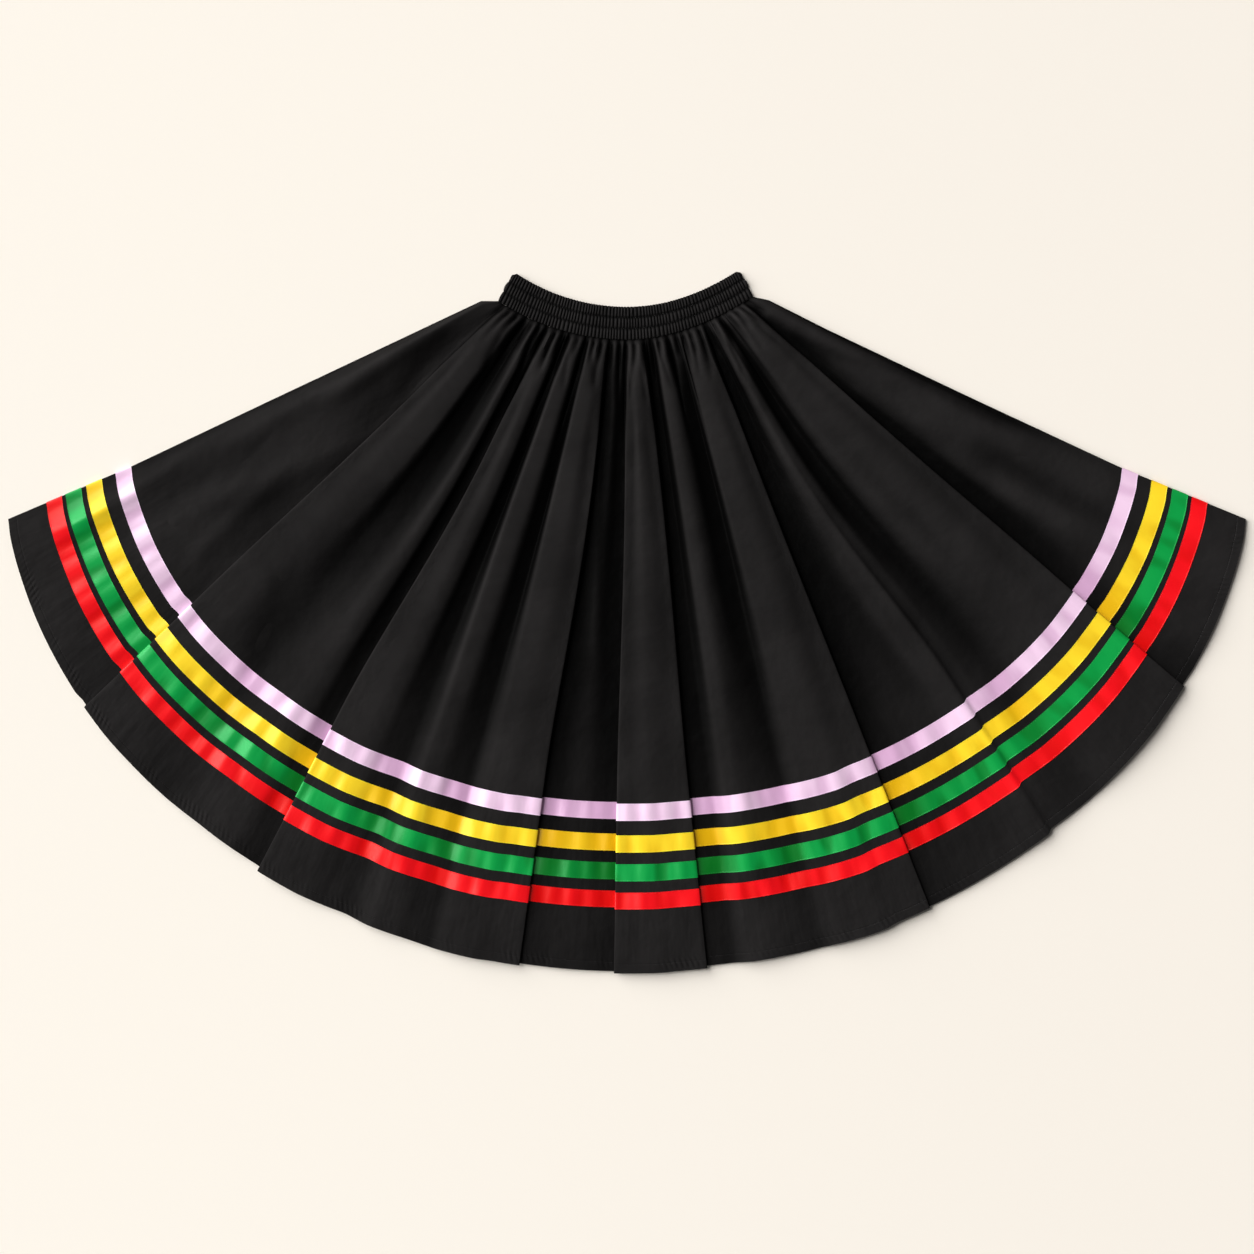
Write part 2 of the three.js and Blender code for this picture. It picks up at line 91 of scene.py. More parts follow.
# %% Light
LIGHTS = {  # towards the light, strength, softness in degrees
    "key": ((-0.85, 0.42, 0.46), 5.6, 72),
    "high": ((-0.45, 0.22, 1.00), 0.75, 16),
}
LIGHT_COLOUR = (1.0, 0.985, 0.96)
FILL, FILL_COLOUR = 0.09, (1, 0.99, 0.975, 1)

for name, (towards, strength, softness) in LIGHTS.items():
    light = add_object(name, bpy.data.lights.new(name, "SUN"))
    light.data.energy, light.data.angle = strength, math.radians(softness)
    light.data.color = LIGHT_COLOUR
    away = -np.array(towards) / np.linalg.norm(towards)
    light.rotation_euler = (math.acos(-away[2]), 0, math.atan2(-away[0], away[1]))
    print(name, "light elevation, degrees:", round(math.degrees(math.asin(-away[2]))))

world = bpy.data.worlds.new("studio")
world.use_nodes = True
background = world.node_tree.nodes["Background"].inputs
background["Color"].default_value = FILL_COLOUR
background["Strength"].default_value = FILL
scene.world = world
scene.view_settings.view_transform = "Standard"

# %% [markdown]
# ## Materials in plain sums
#
# A material is a tree of nodes, which is hard to read as clicks and links. So a wire from one
# node to the next is wrapped in a small class: a sum on wires adds the Math nodes that work it
# out, and one method adds any other node.

# %% Wires


class Wire:
    """One value on its way through a material: sums with it become Math nodes."""

    def __init__(self, tree, socket=None):
        self.tree, self.socket = tree, socket

    def node(self, kind, sockets=(), out=0, **settings):
        """Adds a node, with sockets set by name or number from values or wires."""
        made = self.tree.nodes.new(kind)
        for name, value in settings.items():
            setattr(made, name, value)
        for name, value in dict(sockets).items():
            if isinstance(value, Wire):
                self.tree.links.new(value.socket, made.inputs[name])
            else:
                made.inputs[name].default_value = value
        return Wire(self.tree, made.outputs[out] if made.outputs else None)

    def maths(self, operation, *values):
        """One Math node, such as ADD of two values or SINE of one, from numbers or wires."""
        return self.node("ShaderNodeMath", dict(enumerate(values)), operation=operation)

    def __add__(self, b):
        return self.maths("ADD", self, b)

    def __sub__(self, b):
        return self.maths("SUBTRACT", self, b)

    def __mul__(self, b):
        return self.maths("MULTIPLY", self, b)

    def __rsub__(self, a):
        return self.maths("SUBTRACT", a, self)

    __radd__, __rmul__ = __add__, __mul__

    def __abs__(self):
        return self.maths("ABSOLUTE", self)

    def sine(self):
        return self.maths("SINE", self)

    def band(self, low, high):
        """0 below low and 1 above high, smooth between them."""
        return self.node(
            "ShaderNodeMapRange",
            {"Value": self, "From Min": low, "From Max": high},
            interpolation_type="SMOOTHSTEP",
        )


def blend(mask, a, b):
    """Colour a where mask is 0 and b where it is 1."""
    return mask.node("ShaderNodeMix", {"Factor": mask, 6: a, 7: b}, out=2, data_type="RGBA")


def shades(colour, *factors):
    """The same colour, lighter or darker."""
    return [tuple(min(1, c * f) for c in colour) + (1,) for f in factors]


def empty_material(name):
    """A material without nodes, and a wire to start them from."""
    material = bpy.data.materials.new(name)
    material.use_nodes = True
    material.node_tree.nodes.clear()
    return material, Wire(material.node_tree)


def finish_of(name, colour, roughness, height, **fixed):
    """A material from three functions of the place on the cloth: its colour, its roughness and
    the height of its relief in metres. fixed: sockets that are even all over."""
    material, start = empty_material(name)
    at = {key: start.node("ShaderNodeUVMap", uv_map=key) for key in ("cut", "run")}
    for key in ("cut", "run"):
        parts = start.node("ShaderNodeSeparateXYZ", {0: at[key]}).socket.node
        for axis in ("X", "Y"):
            at[f"{key}_{axis.lower()}"] = Wire(material.node_tree, parts.outputs[axis])
    at["hollow"] = start.node("ShaderNodeAttribute", out=2, attribute_name="hollow")
    bumped = start.node("ShaderNodeBump", {"Height": height(at), "Distance": 1.0})
    sockets = {"Base Color": colour(at), "Roughness": roughness(at), "Normal": bumped}
    cloth = start.node("ShaderNodeBsdfPrincipled", {**sockets, **fixed})
    start.node("ShaderNodeOutputMaterial", {"Surface": cloth})
    return material


def noise(at, size, detail=2.0, stretch=(1, 1)):
    """Soft noise from 0 to 1 over a UV map in metres, with spots of this size."""
    scale = (stretch[0] / size, stretch[1] / size, 1)
    placed = at.node("ShaderNodeMapping", {"Vector": at, "Scale": scale})
    return at.node("ShaderNodeTexNoise", {"Vector": placed, "Scale": 1.0, "Detail": detail})


# %% [markdown]
# ### The table
#
# A cream board, not part of the skirt. Its colour is the picture's ground, with a light falloff
# painted into it; the skirt's soft shadow on it comes from the light alone.

# %% Table top
# Painted light: the board is lighter on the left, towards the light, and darker on the right, a
# light falloff painted into its colour.
CREAM_LEFT, CREAM_RIGHT = (0.915, 0.868, 0.80, 1), (0.86, 0.812, 0.75, 1)
TABLE_HALF = 6.0
TABLE_Z = -0.0006
OBJECT_COORDINATES = 3  # the output of that name

table = bpy.data.meshes.new("table")
signs = ((-1, -1), (1, -1), (1, 1), (-1, 1))
corners = [(x * TABLE_HALF, y * TABLE_HALF, TABLE_Z) for x, y in signs]
table.from_pydata(corners, [], [(0, 1, 2, 3)])
table_top = add_object("table_top", table)
cream, plain = empty_material("cream_board")
place = plain.node("ShaderNodeTexCoord", out=OBJECT_COORDINATES)
to_right = plain.node("ShaderNodeSeparateXYZ", {0: place}).band(-1.0, 1.0)
painted_falloff = blend(to_right, CREAM_LEFT, CREAM_RIGHT)
board = {"Base Color": painted_falloff, "Roughness": 0.9, "Specular IOR Level": 0.1}
plain.node("ShaderNodeOutputMaterial", {0: plain.node("ShaderNodeBsdfPrincipled", board)})
table.materials.append(cream)
print("table made")

# %% [markdown]
# ## The shape of the fan
#
# Every fold of a circle skirt starts at the waist and runs straight to the hem. So a point of the
# cloth is named by its fold line, an angle at the hem, and by t, its share of the way down that
# line, from 0 at the waist seam to 1 at the hem. `plan` gives its place on the table. All sizes
# are in millimetres and become metres only when a mesh is made.

# %% Sizes of the fan
MM = 0.001
WALL = 0.8  # cloth, with its two faces
GAP = 0.3  # between pieces that touch
SIDE = 66  # degrees from the middle of the fan to its side edges
FAN_Y = 473  # where the two side edges would meet
HEM_RADIUS = 911
HEM_RISE, HEM_RISE_POWER = 63.5, 3.9  # how much nearer the hem is at the sides
WAIST_Y = 644  # centre of the waist's two curves
SEAM_RADIUS = 290.6
TOP_RADIUS = 250
SEAM_SIDE = 33.4  # degrees about the waist's centre
RIGHT_LIFT, RIGHT_TOP_LIFT = 6.5, 3.0  # the waist's two curves rise on the right,
RIGHT_LIFT_SIDE = 30  # over so many degrees

SIDE_EDGE_T = [0, 0.03, 0.15, 0.45, 0.75, 1]  # the side edges bulge near the waist, mm outwards
SIDE_EDGE_LEFT = [0, 9, 7, 2.6, -2.4, 0]
SIDE_EDGE_RIGHT = [0, 4.5, 1, -3, -5.5, 0]

FOLD_LINE_HEM = [-66, -49.5, -30.5, -21.5, -15, -8.5, -1, 6.3, 16, 24.5, 36.5, 51.5, 66]
FOLD_LINE_SEAM = [-33.4, -32, -21.7, -13.4, -9.1, -5.3, -0.6, 3.8, 12.2, 19.2, 23.5, 30.7, 33.4]


def ease(x):
    """From 0 at 0 to 1 at 1, level at both ends: x x (3 - 2 x)."""
    x = np.clip(x, 0, 1)
    return x * x * (3 - 2 * x)


def mix(a, b, x):
    """a where x is 0 and b where it is 1."""
    return a + (b - a) * x


def waist_point(seam, share):
    """A circle about the waist's centre: x = r sin(seam), y = centre - r cos(seam)."""
    lift = mix(RIGHT_TOP_LIFT, RIGHT_LIFT, share) * ease(seam / RIGHT_LIFT_SIDE)
    r = mix(TOP_RADIUS, SEAM_RADIUS, share) - lift
    a = np.radians(seam)
    return r * np.sin(a), WAIST_Y - r * np.cos(a)


def plan(deg, t, drop=0.0):
    """Straight from the waist seam to the hem's curve, plus the side edges' bow, which grows with
    the fourth power of the angle."""
    seam = np.interp(deg, FOLD_LINE_HEM, FOLD_LINE_SEAM)
    x0, y0 = waist_point(seam, 1 + GAP / (SEAM_RADIUS - TOP_RADIUS))
    r = HEM_RADIUS - HEM_RISE * np.abs(deg / SIDE) ** HEM_RISE_POWER + drop
    x1, y1 = r * np.sin(np.radians(deg)), FAN_Y - r * np.cos(np.radians(deg))
    left = np.interp(t, SIDE_EDGE_T, SIDE_EDGE_LEFT)
    right = np.interp(t, SIDE_EDGE_T, SIDE_EDGE_RIGHT)
    bow = np.where(deg < 0, left, right) * (deg / SIDE) ** 4
    side = math.radians(SIDE)
    x = mix(x0, x1, t) + bow * math.cos(side) * np.sign(deg)
    return x, mix(y0, y1, t) + bow * math.sin(side)


NEAR = 0.3  # degrees to each side


def per_degree(deg, t):
    """Millimetres along the cloth's row for one degree."""
    d = np.clip(deg, NEAR - SIDE, SIDE - NEAR)
    (xa, ya), (xb, yb) = plan(d - NEAR, t), plan(d + NEAR, t)
    return np.hypot(xb - xa, yb - ya) / (2 * NEAR)


def line_length(deg):
    """Millimetres from the waist seam to the hem along a fold line."""
    (xa, ya), (xb, yb) = plan(deg, 0.0 * deg), plan(deg, 0.0 * deg + 1)
    return np.hypot(xb - xa, yb - ya)


print("waist to hem in the middle, mm:", round(float(line_length(np.array(0.0)))))

# %% [markdown]
# ## Rows of the cloth
#
# The ribbons are sewn at set distances from the hem, a little nearer to it at the sides. The
# mesh's rows follow those edges, so that a ribbon is cut out of the very rows that it lies on and
# bends with the cloth. `rows` lists the places that some row has to pass through, with the number
# of rows from each to the next.

# %% Ribbons and rows
RIBBONS = {  # from the hem to the lower edge, in the middle and at the side seams, and width
    "lilac": (190.6, 146, 21.4),
    "yellow": (151, 106, 21.4),
    "green": (115, 78, 21.4),
    "red": (80, 52, 20.9),
}
SEWN_IN = 1.1  # from a ribbon's edge to its stitches
HEM_TURN = 11.0  # the hem's stitches lie this far from its edge
NARROWING = 1.6  # power by which a distance from the hem shrinks towards the sides
PLAIN_ROWS = ((0, 7), (0.035, 12), (0.1, 10), (0.2, 9), (0.3, 9), (0.4, 18))  # t, rows to the next
RIBBON_STEPS = (1, 3, 1, 2)  # rows from edge to stitches, across, to the other edge, and on
HEM_STEPS = (6, 3)  # rows from the last ribbon to the hem's stitches, and from them to its edge


def hem_place(middle, side):
    """t of a row, as a function of the angle: 1 - distance from the hem / length of the line."""
    return lambda deg: 1 - mix(middle, side, np.abs(deg / SIDE) ** NARROWING) / line_length(deg)


def next_row():
    return sum(count for _, count in rows)


rows = [(lambda deg, t=t: t + 0 * deg, count) for t, count in PLAIN_ROWS]
ribbon_rows = {}
for name, (middle, side, width) in RIBBONS.items():
    ribbon_rows[name] = (next_row(), next_row() + sum(RIBBON_STEPS[:3]))
    for away, count in zip((width, width - SEWN_IN, SEWN_IN, 0), RIBBON_STEPS):
        rows.append((hem_place(middle + away, side + away), count))
rows[-1] = (rows[-1][0], HEM_STEPS[0])
HEM_STITCH_ROW = next_row()
rows.append((hem_place(HEM_TURN, HEM_TURN), HEM_STEPS[1]))
ROWS = next_row() + 1
rows.append((hem_place(0, 0), 0))


def row_t(deg):
    """t of every row at its own angles: even steps between the listed places."""
    deg = np.broadcast_to(deg, (ROWS, deg.shape[-1]))
    marks = np.cumsum([0] + [count for _, count in rows[:-1]])
    number = np.arange(ROWS)
    above = np.clip(np.searchsorted(marks, number, side="right") - 1, 0, len(rows) - 2)
    share = (number - marks[above]) / (marks[above + 1] - marks[above])
    pairs = zip(above, share, deg)
    return np.stack([mix(rows[k][0](d), rows[k + 1][0](d), part) for k, part, d in pairs])


print("rows:", ROWS, "ribbons:", ribbon_rows)

# %% [markdown]
# ## Folds and laps
#
# A soft fold is a low wave. A lap lies over itself as a Z: the cloth runs under the lap's edge,
# turns back in a hidden turn, and turns again at the edge that shows. Each fold is a row of a
# small table, at the place where the real skirt has it, and a smooth curve is drawn through the
# tables' heights.

# %% Fold tables
HIDDEN_TURN, SHOWN_TURN = 2.3, 0.8  # radii of a lap's two turns
LAP_RISE = 2 * (HIDDEN_TURN + SHOWN_TURN)
LAP_TOP = LAP_RISE + 0.3
FRONT_LAP_START, BACK_LAP_START = 0.05, 0.28  # t where a lap begins to open
LAP_OPENING = 0.10  # t over which it opens
LAP_WIDENING, LEAST_LAP = 0.34, 4  # t from which its hidden cloth grows, and mm of it above that
TALL_T = (0, 0.04, 0.12, 0.35, 0.62, 0.88)
TALL = (1.4, 1.8, 1.85, 1.8, 1.3, 0.78)  # times the heights in the front's tables, by t
UPPER_T, LOWERING = 0.2, 0.5  # where the fold lines leave their upper places, and over what share
SIDE_SEAM_Z, CURL = 3.0, 1.0  # height of the side seams, and how far the panels' edges curl in
CORNER_DROP = -1.5  # the hem's rounded corners at the side seams
FRONT_Z = SIDE_SEAM_Z + GAP / 2 + CURL + 0.15
BACK_Z = 0.5

# at (degrees) and high (mm above the lowest layer) near the hem, then both in the upper third,
# and drop (mm past the hem's even curve)
FRONT_WAVES = [
    (-64.4, 1.8, -64.6, 2, 0), (-62.9, 2.8, -62.6, 4.4, 0), (-60.3, 1, -59, 3.2, 0),
    (-57.2, 3.2, -55.5, 1.8, 0), (-53.6, 1.4, -52.2, 0.4, 0), (-51, 0.2, -50.2, 0, 0),
    (-45.8, 6.6, -44.6, 8.2, 0), (-43.6, 4.2, -40.4, 7, -1), (-40.2, 1.4, -38.2, 2.4, -2),
    (-37.7, 4.2, -35.4, 0.8, -4), (-36.2, 6, -33.4, 2.6, -5), (-34.4, 7.2, -31.8, 4.8, -5),
    (-33, 5.4, -30.7, 4, -5), (-31.9, 1.4, -29.9, 0.6, -5), (-27.2, 6.8, -25.8, 8.2, 1),
    (-25.7, 5.2, -24.3, 6.6, 0), (-24.5, 2.2, -23.2, 2.4, -1), (-22.8, 1.2, -22.3, 0.8, -2.5),
    (-21.6, 4, -21.9, 4.4, -1), (-20.6, 7, -21.2, 7.6, 0), (-19.2, 5.8, -18.4, 7, 0),
    (-17.6, 2.2, -16.4, 3, 0), (-15.9, 1.2, -15.2, 1.2, 1), (-14.9, 5, -14.8, 5, 1.5),
    (-13.9, 7, -14.2, 7.6, 1.5), (-12.2, 7.8, -11, 8.4, 1.5), (-7, 0.2, -5.4, 0.2, -2.5),
    (-4.6, 1.4, -3.6, 2, -2.5), (-2.4, 0.2, -2, 0.4, -2.5), (2.4, 8, 3, 8.6, 0),
    (8.4, 0.2, 8.8, 0.2, -3.5), (9.1, 3, 9.4, 3.6, -2.5), (9.9, 6.4, 10.2, 6.8, -1.5),
    (10.9, 7.2, 11.4, 7.6, -1), (12.2, 4.8, 13, 5.6, -0.5), (13.6, 3, 14.6, 2.2, 0),
    (15.4, 1.8, 16.2, 0.6, 0.5), (16.3, 5, 16.7, 4.6, 1.5), (17.3, 7.2, 17.4, 7.6, 2.5),
    (20.4, 8.6, 20.4, 8.8, 4), (26, 0.2, 25.8, 0.2, 0), (29.5, 1.2, 27.6, 0.2, 0),
    (31.8, 1.8, 28.8, 2, 0), (33.6, 3.8, 30.2, 4.6, 0), (35.5, 5.6, 31.9, 6.2, 0.5),
    (36, 2.6, 32.5, 5.9, -3), (37, 2.9, 33.7, 4.6, -2.5), (38, 1.8, 35, 1.6, -1.5),
    (39.6, 0.8, 36.8, 0.4, 0), (42, 4.6, 38.6, 4.8, 0.5), (44.2, 7, 41.4, 7.8, 1),
    (47.3, 8.4, 46.2, 8.6, 1.5), (53.2, 0.2, 52.6, 0.2, 0), (56.5, 2.8, 55, 0.4, 0),
    (60.3, 1.2, 59, 2.4, 0), (62.9, 2.6, 62.2, 3.6, 0), (64.4, 1.6, 64.4, 1.8, 0),
]
# at near the hem and in the upper third, under (mm hidden at the hem), over (1: the right side
# lies on top), drop, and the lower layer's drop
FRONT_LAPS = [
    (-49.5, -48.6, 30, 1, 0.5, -3), (-30.5, -28.5, 36, 1, 1, -5), (-8.5, -7, 26, -1, 0, -2.5),
    (-1, -0.4, 24, 1, 0, -2.5), (6.3, 6.9, 22, -1, -1, -4), (24.5, 24.2, 34, -1, 1.5, 0),
    (51.5, 51, 30, -1, 1.2, -1),
]
BACK_WAVES = [
    (at, 0, at, 0, drop)
    for at, drop in (
        (-64.4, -1), (-59, -2), (-53.5, -2), (-48, -2), (-42.8, -3.5), (-38.2, -6), (-28.4, -4),
        (-22.8, -4.5), (-17.2, -2), (-6, -4.5), (-1.5, -4.5), (9, -4.5), (13.4, -2), (25, -2),
        (30, -2), (35, -3), (39.8, -2), (51.2, -2), (55.8, -2), (60, -2), (64.4, -1),
    )
]
BACK_LAPS = [
    (-33.2, -33.2, 28, -1, -7, -6.5), (-11.2, -11.2, 30, -1, -1.5, -2.5),
    (3.8, 3.8, 32, -1, -2, -3), (18.0, 18.0, 44, 1, 0, -1), (44.8, 44.8, 42, 1, -1, -2),
]

# A lap's steps, from the shown edge: widths of the lap, mm, height, and degrees before it opens.
FRONT_STEPS = [
    (0, -4, 0, -0.9), (1, -HIDDEN_TURN, 0, -0.6), (1, 0, HIDDEN_TURN, -0.25),
    (1, -HIDDEN_TURN, 2 * HIDDEN_TURN, 0.05), (0, SHOWN_TURN, 2 * HIDDEN_TURN + 0.05, 0.3),
    (0, 0, 2 * HIDDEN_TURN + SHOWN_TURN, 0.5), (0, SHOWN_TURN, LAP_RISE, 0.7),
    (1, 6, LAP_TOP, 1),
]
BACK_STEPS = [
    (0, SHOWN_TURN, 0, 1), (0, 0, SHOWN_TURN, 0.7), (0, SHOWN_TURN, 2 * SHOWN_TURN, 0.5),
    (1, -HIDDEN_TURN, 2 * SHOWN_TURN + 0.05, 0.3), (1, 0, 2 * SHOWN_TURN + HIDDEN_TURN, 0.1),
    (1, -HIDDEN_TURN, LAP_RISE, -0.15), (0, -3, LAP_RISE, -0.5), (0, -12, 0, -1),
]
print("front laps:", len(FRONT_LAPS), "back laps:", len(BACK_LAPS))

# %% Stations across the fan
STATION = "at up hand laps mm high up_high flat unopened drop under turn".split()


def station_table(waves, laps, steps, out, unopened):
    """One row for each station, from the left side seam to the right one, as a dict of arrays."""
    found = []
    for at, high, up, up_high, drop in waves:
        found.append((at, [(at, up, 0, 0, 0, high, up_high, 0, 0, drop, 0, 1)]))
    for at, up, under, over, drop, lower in laps:
        lap = []
        for widths, mm, z, flat in steps:
            hangs = mix(lower, drop, ease(z / LAP_RISE))
            lap.append((at, up, over, widths, mm, z, z, flat, unopened(flat), hangs, under, 1))
        found.append((at, lap if over == out else lap[::-1]))
    inner = [row for _, group in sorted(found, key=lambda item: item[0]) for row in group]
    curl = [(0, 0), (0, 0.35), (CURL, 1)]
    seam = [0, 0, 0, 0, CORNER_DROP, 0]
    left = [(-SIDE, -SIDE, 1, 0, mm, *seam, turn) for mm, turn in curl]
    right = [(SIDE, SIDE, -1, 0, mm, *seam, turn) for mm, turn in curl[::-1]]
    return dict(zip(STATION, np.array(left + inner + right, float).T))


def slope(flat):
    """The front's laps before they open: one smooth step up."""
    first, last = FRONT_STEPS[0][3], FRONT_STEPS[-1][3]
    return LAP_TOP * ease((flat - first) / (last - first))


def ridge(flat):
    """The back's: a low ridge, because the cloth on the table stays flat."""
    return 0.6 * LAP_RISE * ease(1 - abs(flat))


front_stations = station_table(FRONT_WAVES, FRONT_LAPS, FRONT_STEPS, 1, slope)
back_stations = station_table(BACK_WAVES, BACK_LAPS, BACK_STEPS, -1, ridge)
print("stations:", len(front_stations["at"]), "front,", len(back_stations["at"]), "back")

# %% [markdown]
# ### A smooth line through the stations
#
# Straight pieces between the stations would show as creases. So a cubic curve is drawn through
# them, with slopes that never let it swing past a station: a swing would push one layer of a lap
# through the next. The curve's own parameter is the length along the cloth.

# %% Smooth columns


def smooth(values, length, parts):
    """Cubic Hermite curve through values (rows by stations), with harmonic-mean slopes: zero where
    the values turn, else 3(h0+h1) / ((2h1+h0)/d0 + (h1+2h0)/d1)."""
    h = np.maximum(np.diff(length, axis=1), 1e-4)
    d = np.diff(values, axis=1) / h
    h0, h1, d0, d1 = h[:, :-1], h[:, 1:], d[:, :-1], d[:, 1:]
    same = d0 * d1 > 0
    safe0, safe1 = np.where(same, d0, 1), np.where(same, d1, 1)
    middle = np.where(same, 3 * (h0 + h1) / ((2 * h1 + h0) / safe0 + (h1 + 2 * h0) / safe1), 0)
    m = np.concatenate([d[:, :1], middle, d[:, -1:]], axis=1)
    which = np.repeat(np.arange(len(parts)), parts)
    u = np.concatenate([np.arange(n) / n for n in parts])[None, :]
    hw = h[:, which]
    curve = (
        values[:, which] * (2 * u**3 - 3 * u**2 + 1)
        + values[:, which + 1] * (3 * u**2 - 2 * u**3)
        + hw * m[:, which] * (u**3 - 2 * u**2 + u)
        + hw * m[:, which + 1] * (u**3 - u**2)
    )
    return np.concatenate([curve, values[:, -1:]], axis=1)


SINKS_FROM, SINKS_OVER, LOWEST = 12, 8, -2.4  # mm


def settled(high):
    """High folds sink under their own weight: from a = 12 mm up, a + b (1 - exp(-(h - a) / b))."""
    over = np.maximum(high - SINKS_FROM, 0)
    sunk = np.minimum(high, SINKS_FROM) + SINKS_OVER * (1 - np.exp(-over / SINKS_OVER))
    return np.maximum(sunk, LOWEST)


PARTS = (3, 14)  # least and most columns from one station to the next


def normals_of(p):
    """Unit cross product of the surface's two directions, down the rows and across the columns."""
    down, across = np.gradient(p, axis=0), np.gradient(p, axis=1)
    n = np.cross(down, across)
    return n / np.maximum(np.linalg.norm(n, axis=2, keepdims=True), 1e-9)


def surface(s, levels, base_z, spacing, seam_z, extra, lap_start, taller):
    """Angle, t, point, normal and height of every point of a panel, rows by columns. A lap's steps
    lie flat degrees from its edge while closed and x / (mm per degree) from it once open."""
    t = row_t(s["at"])
    lower = ease((t - UPPER_T) / LOWERING)
    at = mix(s["up"], s["at"], lower)
    local = per_degree(at, t)
    opened = np.clip((t - lap_start) / LAP_OPENING, 0, 1)
    spread = np.maximum(LEAST_LAP, s["under"] * (t - LAP_WIDENING) / (1 - LAP_WIDENING))
    x = s["laps"] * spread + s["mm"]
    lap = s["under"] > 0
    deg = at + s["hand"] * np.where(lap, mix(s["flat"], x / local, opened), x / local)
    waves = mix(s["up_high"], s["high"], lower)
    high = np.where(lap, mix(s["unopened"], s["high"], opened), waves)
    high = high * (np.interp(t, TALL_T, TALL) if taller else 1.0)
    steps = np.hypot(np.diff(deg, axis=1) * local[:, 1:], np.diff(high, axis=1))
    length = np.cumsum(np.concatenate([0 * deg[:, :1], steps], axis=1), axis=1)
    parts = np.clip(np.ceil(steps[-1] / spacing), *PARTS).astype(int)
    deg, high = smooth(deg, length, parts), smooth(high, length, parts)
    drop = smooth(0 * length + s["drop"], length, parts)
    turn = smooth(0 * length + s["turn"], length, parts)
    t = row_t(deg)
    share = np.interp(t, levels["t"], levels["folds"])
    z = mix(seam_z, base_z + settled(high * share + extra(deg, t)), turn)
    p = np.stack([*plan(deg, t, drop), z], axis=2)
    return {"deg": deg, "t": t, "p": p, "n": normals_of(p), "high": z - base_z}


# %% [markdown]
# ### Gathers
#
# The waist seam draws a long edge of cloth into a short one, so the cloth stands up in rounded
# bulges with narrow valleys between them. Neighbouring bulges join on their way down: each valley
# has its own length, and all are gone where the main folds take over.

# %% Gathers
GATHERS = 34
FRONT_LEVELS = {
    "t": [0, 0.02, 0.05, 0.1, 0.2, 0.28, 0.45, 1],
    "base": [-1.0, 1.6, 1.6, 1.0, 0.5, 0, 0, 0],
    "folds": [0.06, 0.34, 0.6, 0.9, 1.08, 1.06, 1, 1],
}
# A fold's rounded head at the seam: its two sides in degrees and its height, mm
HEADS = [
    (-48.6, -37.2, 6.5), (-34.8, -28.6, 6), (-28.4, -23.2, 7.5), (-23.1, -16.6, 7.5),
    (-16.4, -6.9, 7.5), (-6.7, -0.9, 5), (-0.4, 7.4, 8.5), (9.1, 13.5, 6.5), (13.8, 17.1, 5.5),
    (17.2, 24.8, 7.5), (29.2, 36.8, 6), (39.6, 51.1, 6.5),
]
HEAD_ROUND, HEAD_FADE = 0.034, (0.06, 0.2)  # t
# Slanting creases: from degrees and t to degrees and t, half width and height, mm
DRAGS = [
    (-64, 0.03, -60.4, 0.4, 13, 5.5), (-48, 0.26, -60, 0.7, 20, 5),
    (-58.5, 0.07, -48.5, 0.26, 15, -3.5), (-62.2, 0.44, -56.8, 0.63, 3.5, -1.3),
    (-55, 0.42, -53, 0.75, 12, 2.6), (-64.4, 0.55, -62.5, 0.95, 10, 2.4),
    (-46, 0.5, -39, 0.8, 18, -1.4), (50.5, 0.1, 66, 0.66, 22, 4),
    (54, 0.3, 60, 0.95, 16, 3), (53, 0.06, 64.5, 0.32, 9, -2.4),
    (27.5, 0.2, 34.5, 0.75, 12, 2), (42.5, 0.1, 44.5, 0.6, 14, -1.8),
    (-6.3, 0.1, -4.2, 0.55, 8, 2.6), (-41.5, 0.03, -39.3, 0.12, 4.5, -3.2),
    (-31.2, 0.02, -29.6, 0.09, 3.5, -2.6), (-26.4, 0.02, -25.2, 0.08, 3.5, -2.6),
    (-20.8, 0.02, -18.6, 0.1, 3.5, -2.8), (-12.4, 0.02, -9.4, 0.09, 4, -2.8),
    (2.2, 0.02, 1, 0.1, 3.5, -2.6), (4.6, 0.03, 5.6, 0.11, 3.5, -2.4),
    (11, 0.03, 12, 0.09, 3, -2.2), (20.2, 0.02, 19.2, 0.08, 3.5, -2.6),
    (22.6, 0.02, 21.4, 0.1, 3.5, -2.6), (34, 0.03, 31.4, 0.13, 4.5, -3),
    (44.2, 0.02, 43, 0.1, 4.5, -3), (47, 0.03, 48.6, 0.11, 4, -2.6),
]
BACK_LEVELS = {
    "t": [0, 0.05, 0.16, 0.28, 0.42, 1],
    "gathers": [0.9, 2.0, 0.8, 0, 0, 0],
    "folds": [0, 0, 0.25, 0.7, 1, 1],
}
DEEPEST = 7.5  # mm, of a gather's valley
VALLEY_WIDTH = (0.40, 0.29)  # share of a gather, where the valley ends and at the seam
rng = np.random.default_rng(7)
longer = np.where(np.arange(GATHERS + 1) % 2, 1.0, 1.6)
valley_length = rng.uniform(0.04, 0.065, GATHERS + 1) * longer
valley_depth = rng.uniform(0.75, 1.15, GATHERS + 1)


def gather_number(deg):
    """Counts gathers from the left: whole numbers are valleys. They aren't quite evenly spaced."""
    n = np.arange(GATHERS + 1)
    even = mix(-SEAM_SIDE, SEAM_SIDE, n / GATHERS)
    seam = even + 0.32 * np.sin(1.7 * n) * np.sin(np.pi * n / GATHERS)
    return np.interp(np.interp(deg, FOLD_LINE_HEM, FOLD_LINE_SEAM), seam, n)


def from_seams(n):
    """0 at the side seams and 1 from the first gather inwards."""
    return ease(np.minimum(n, GATHERS - n))


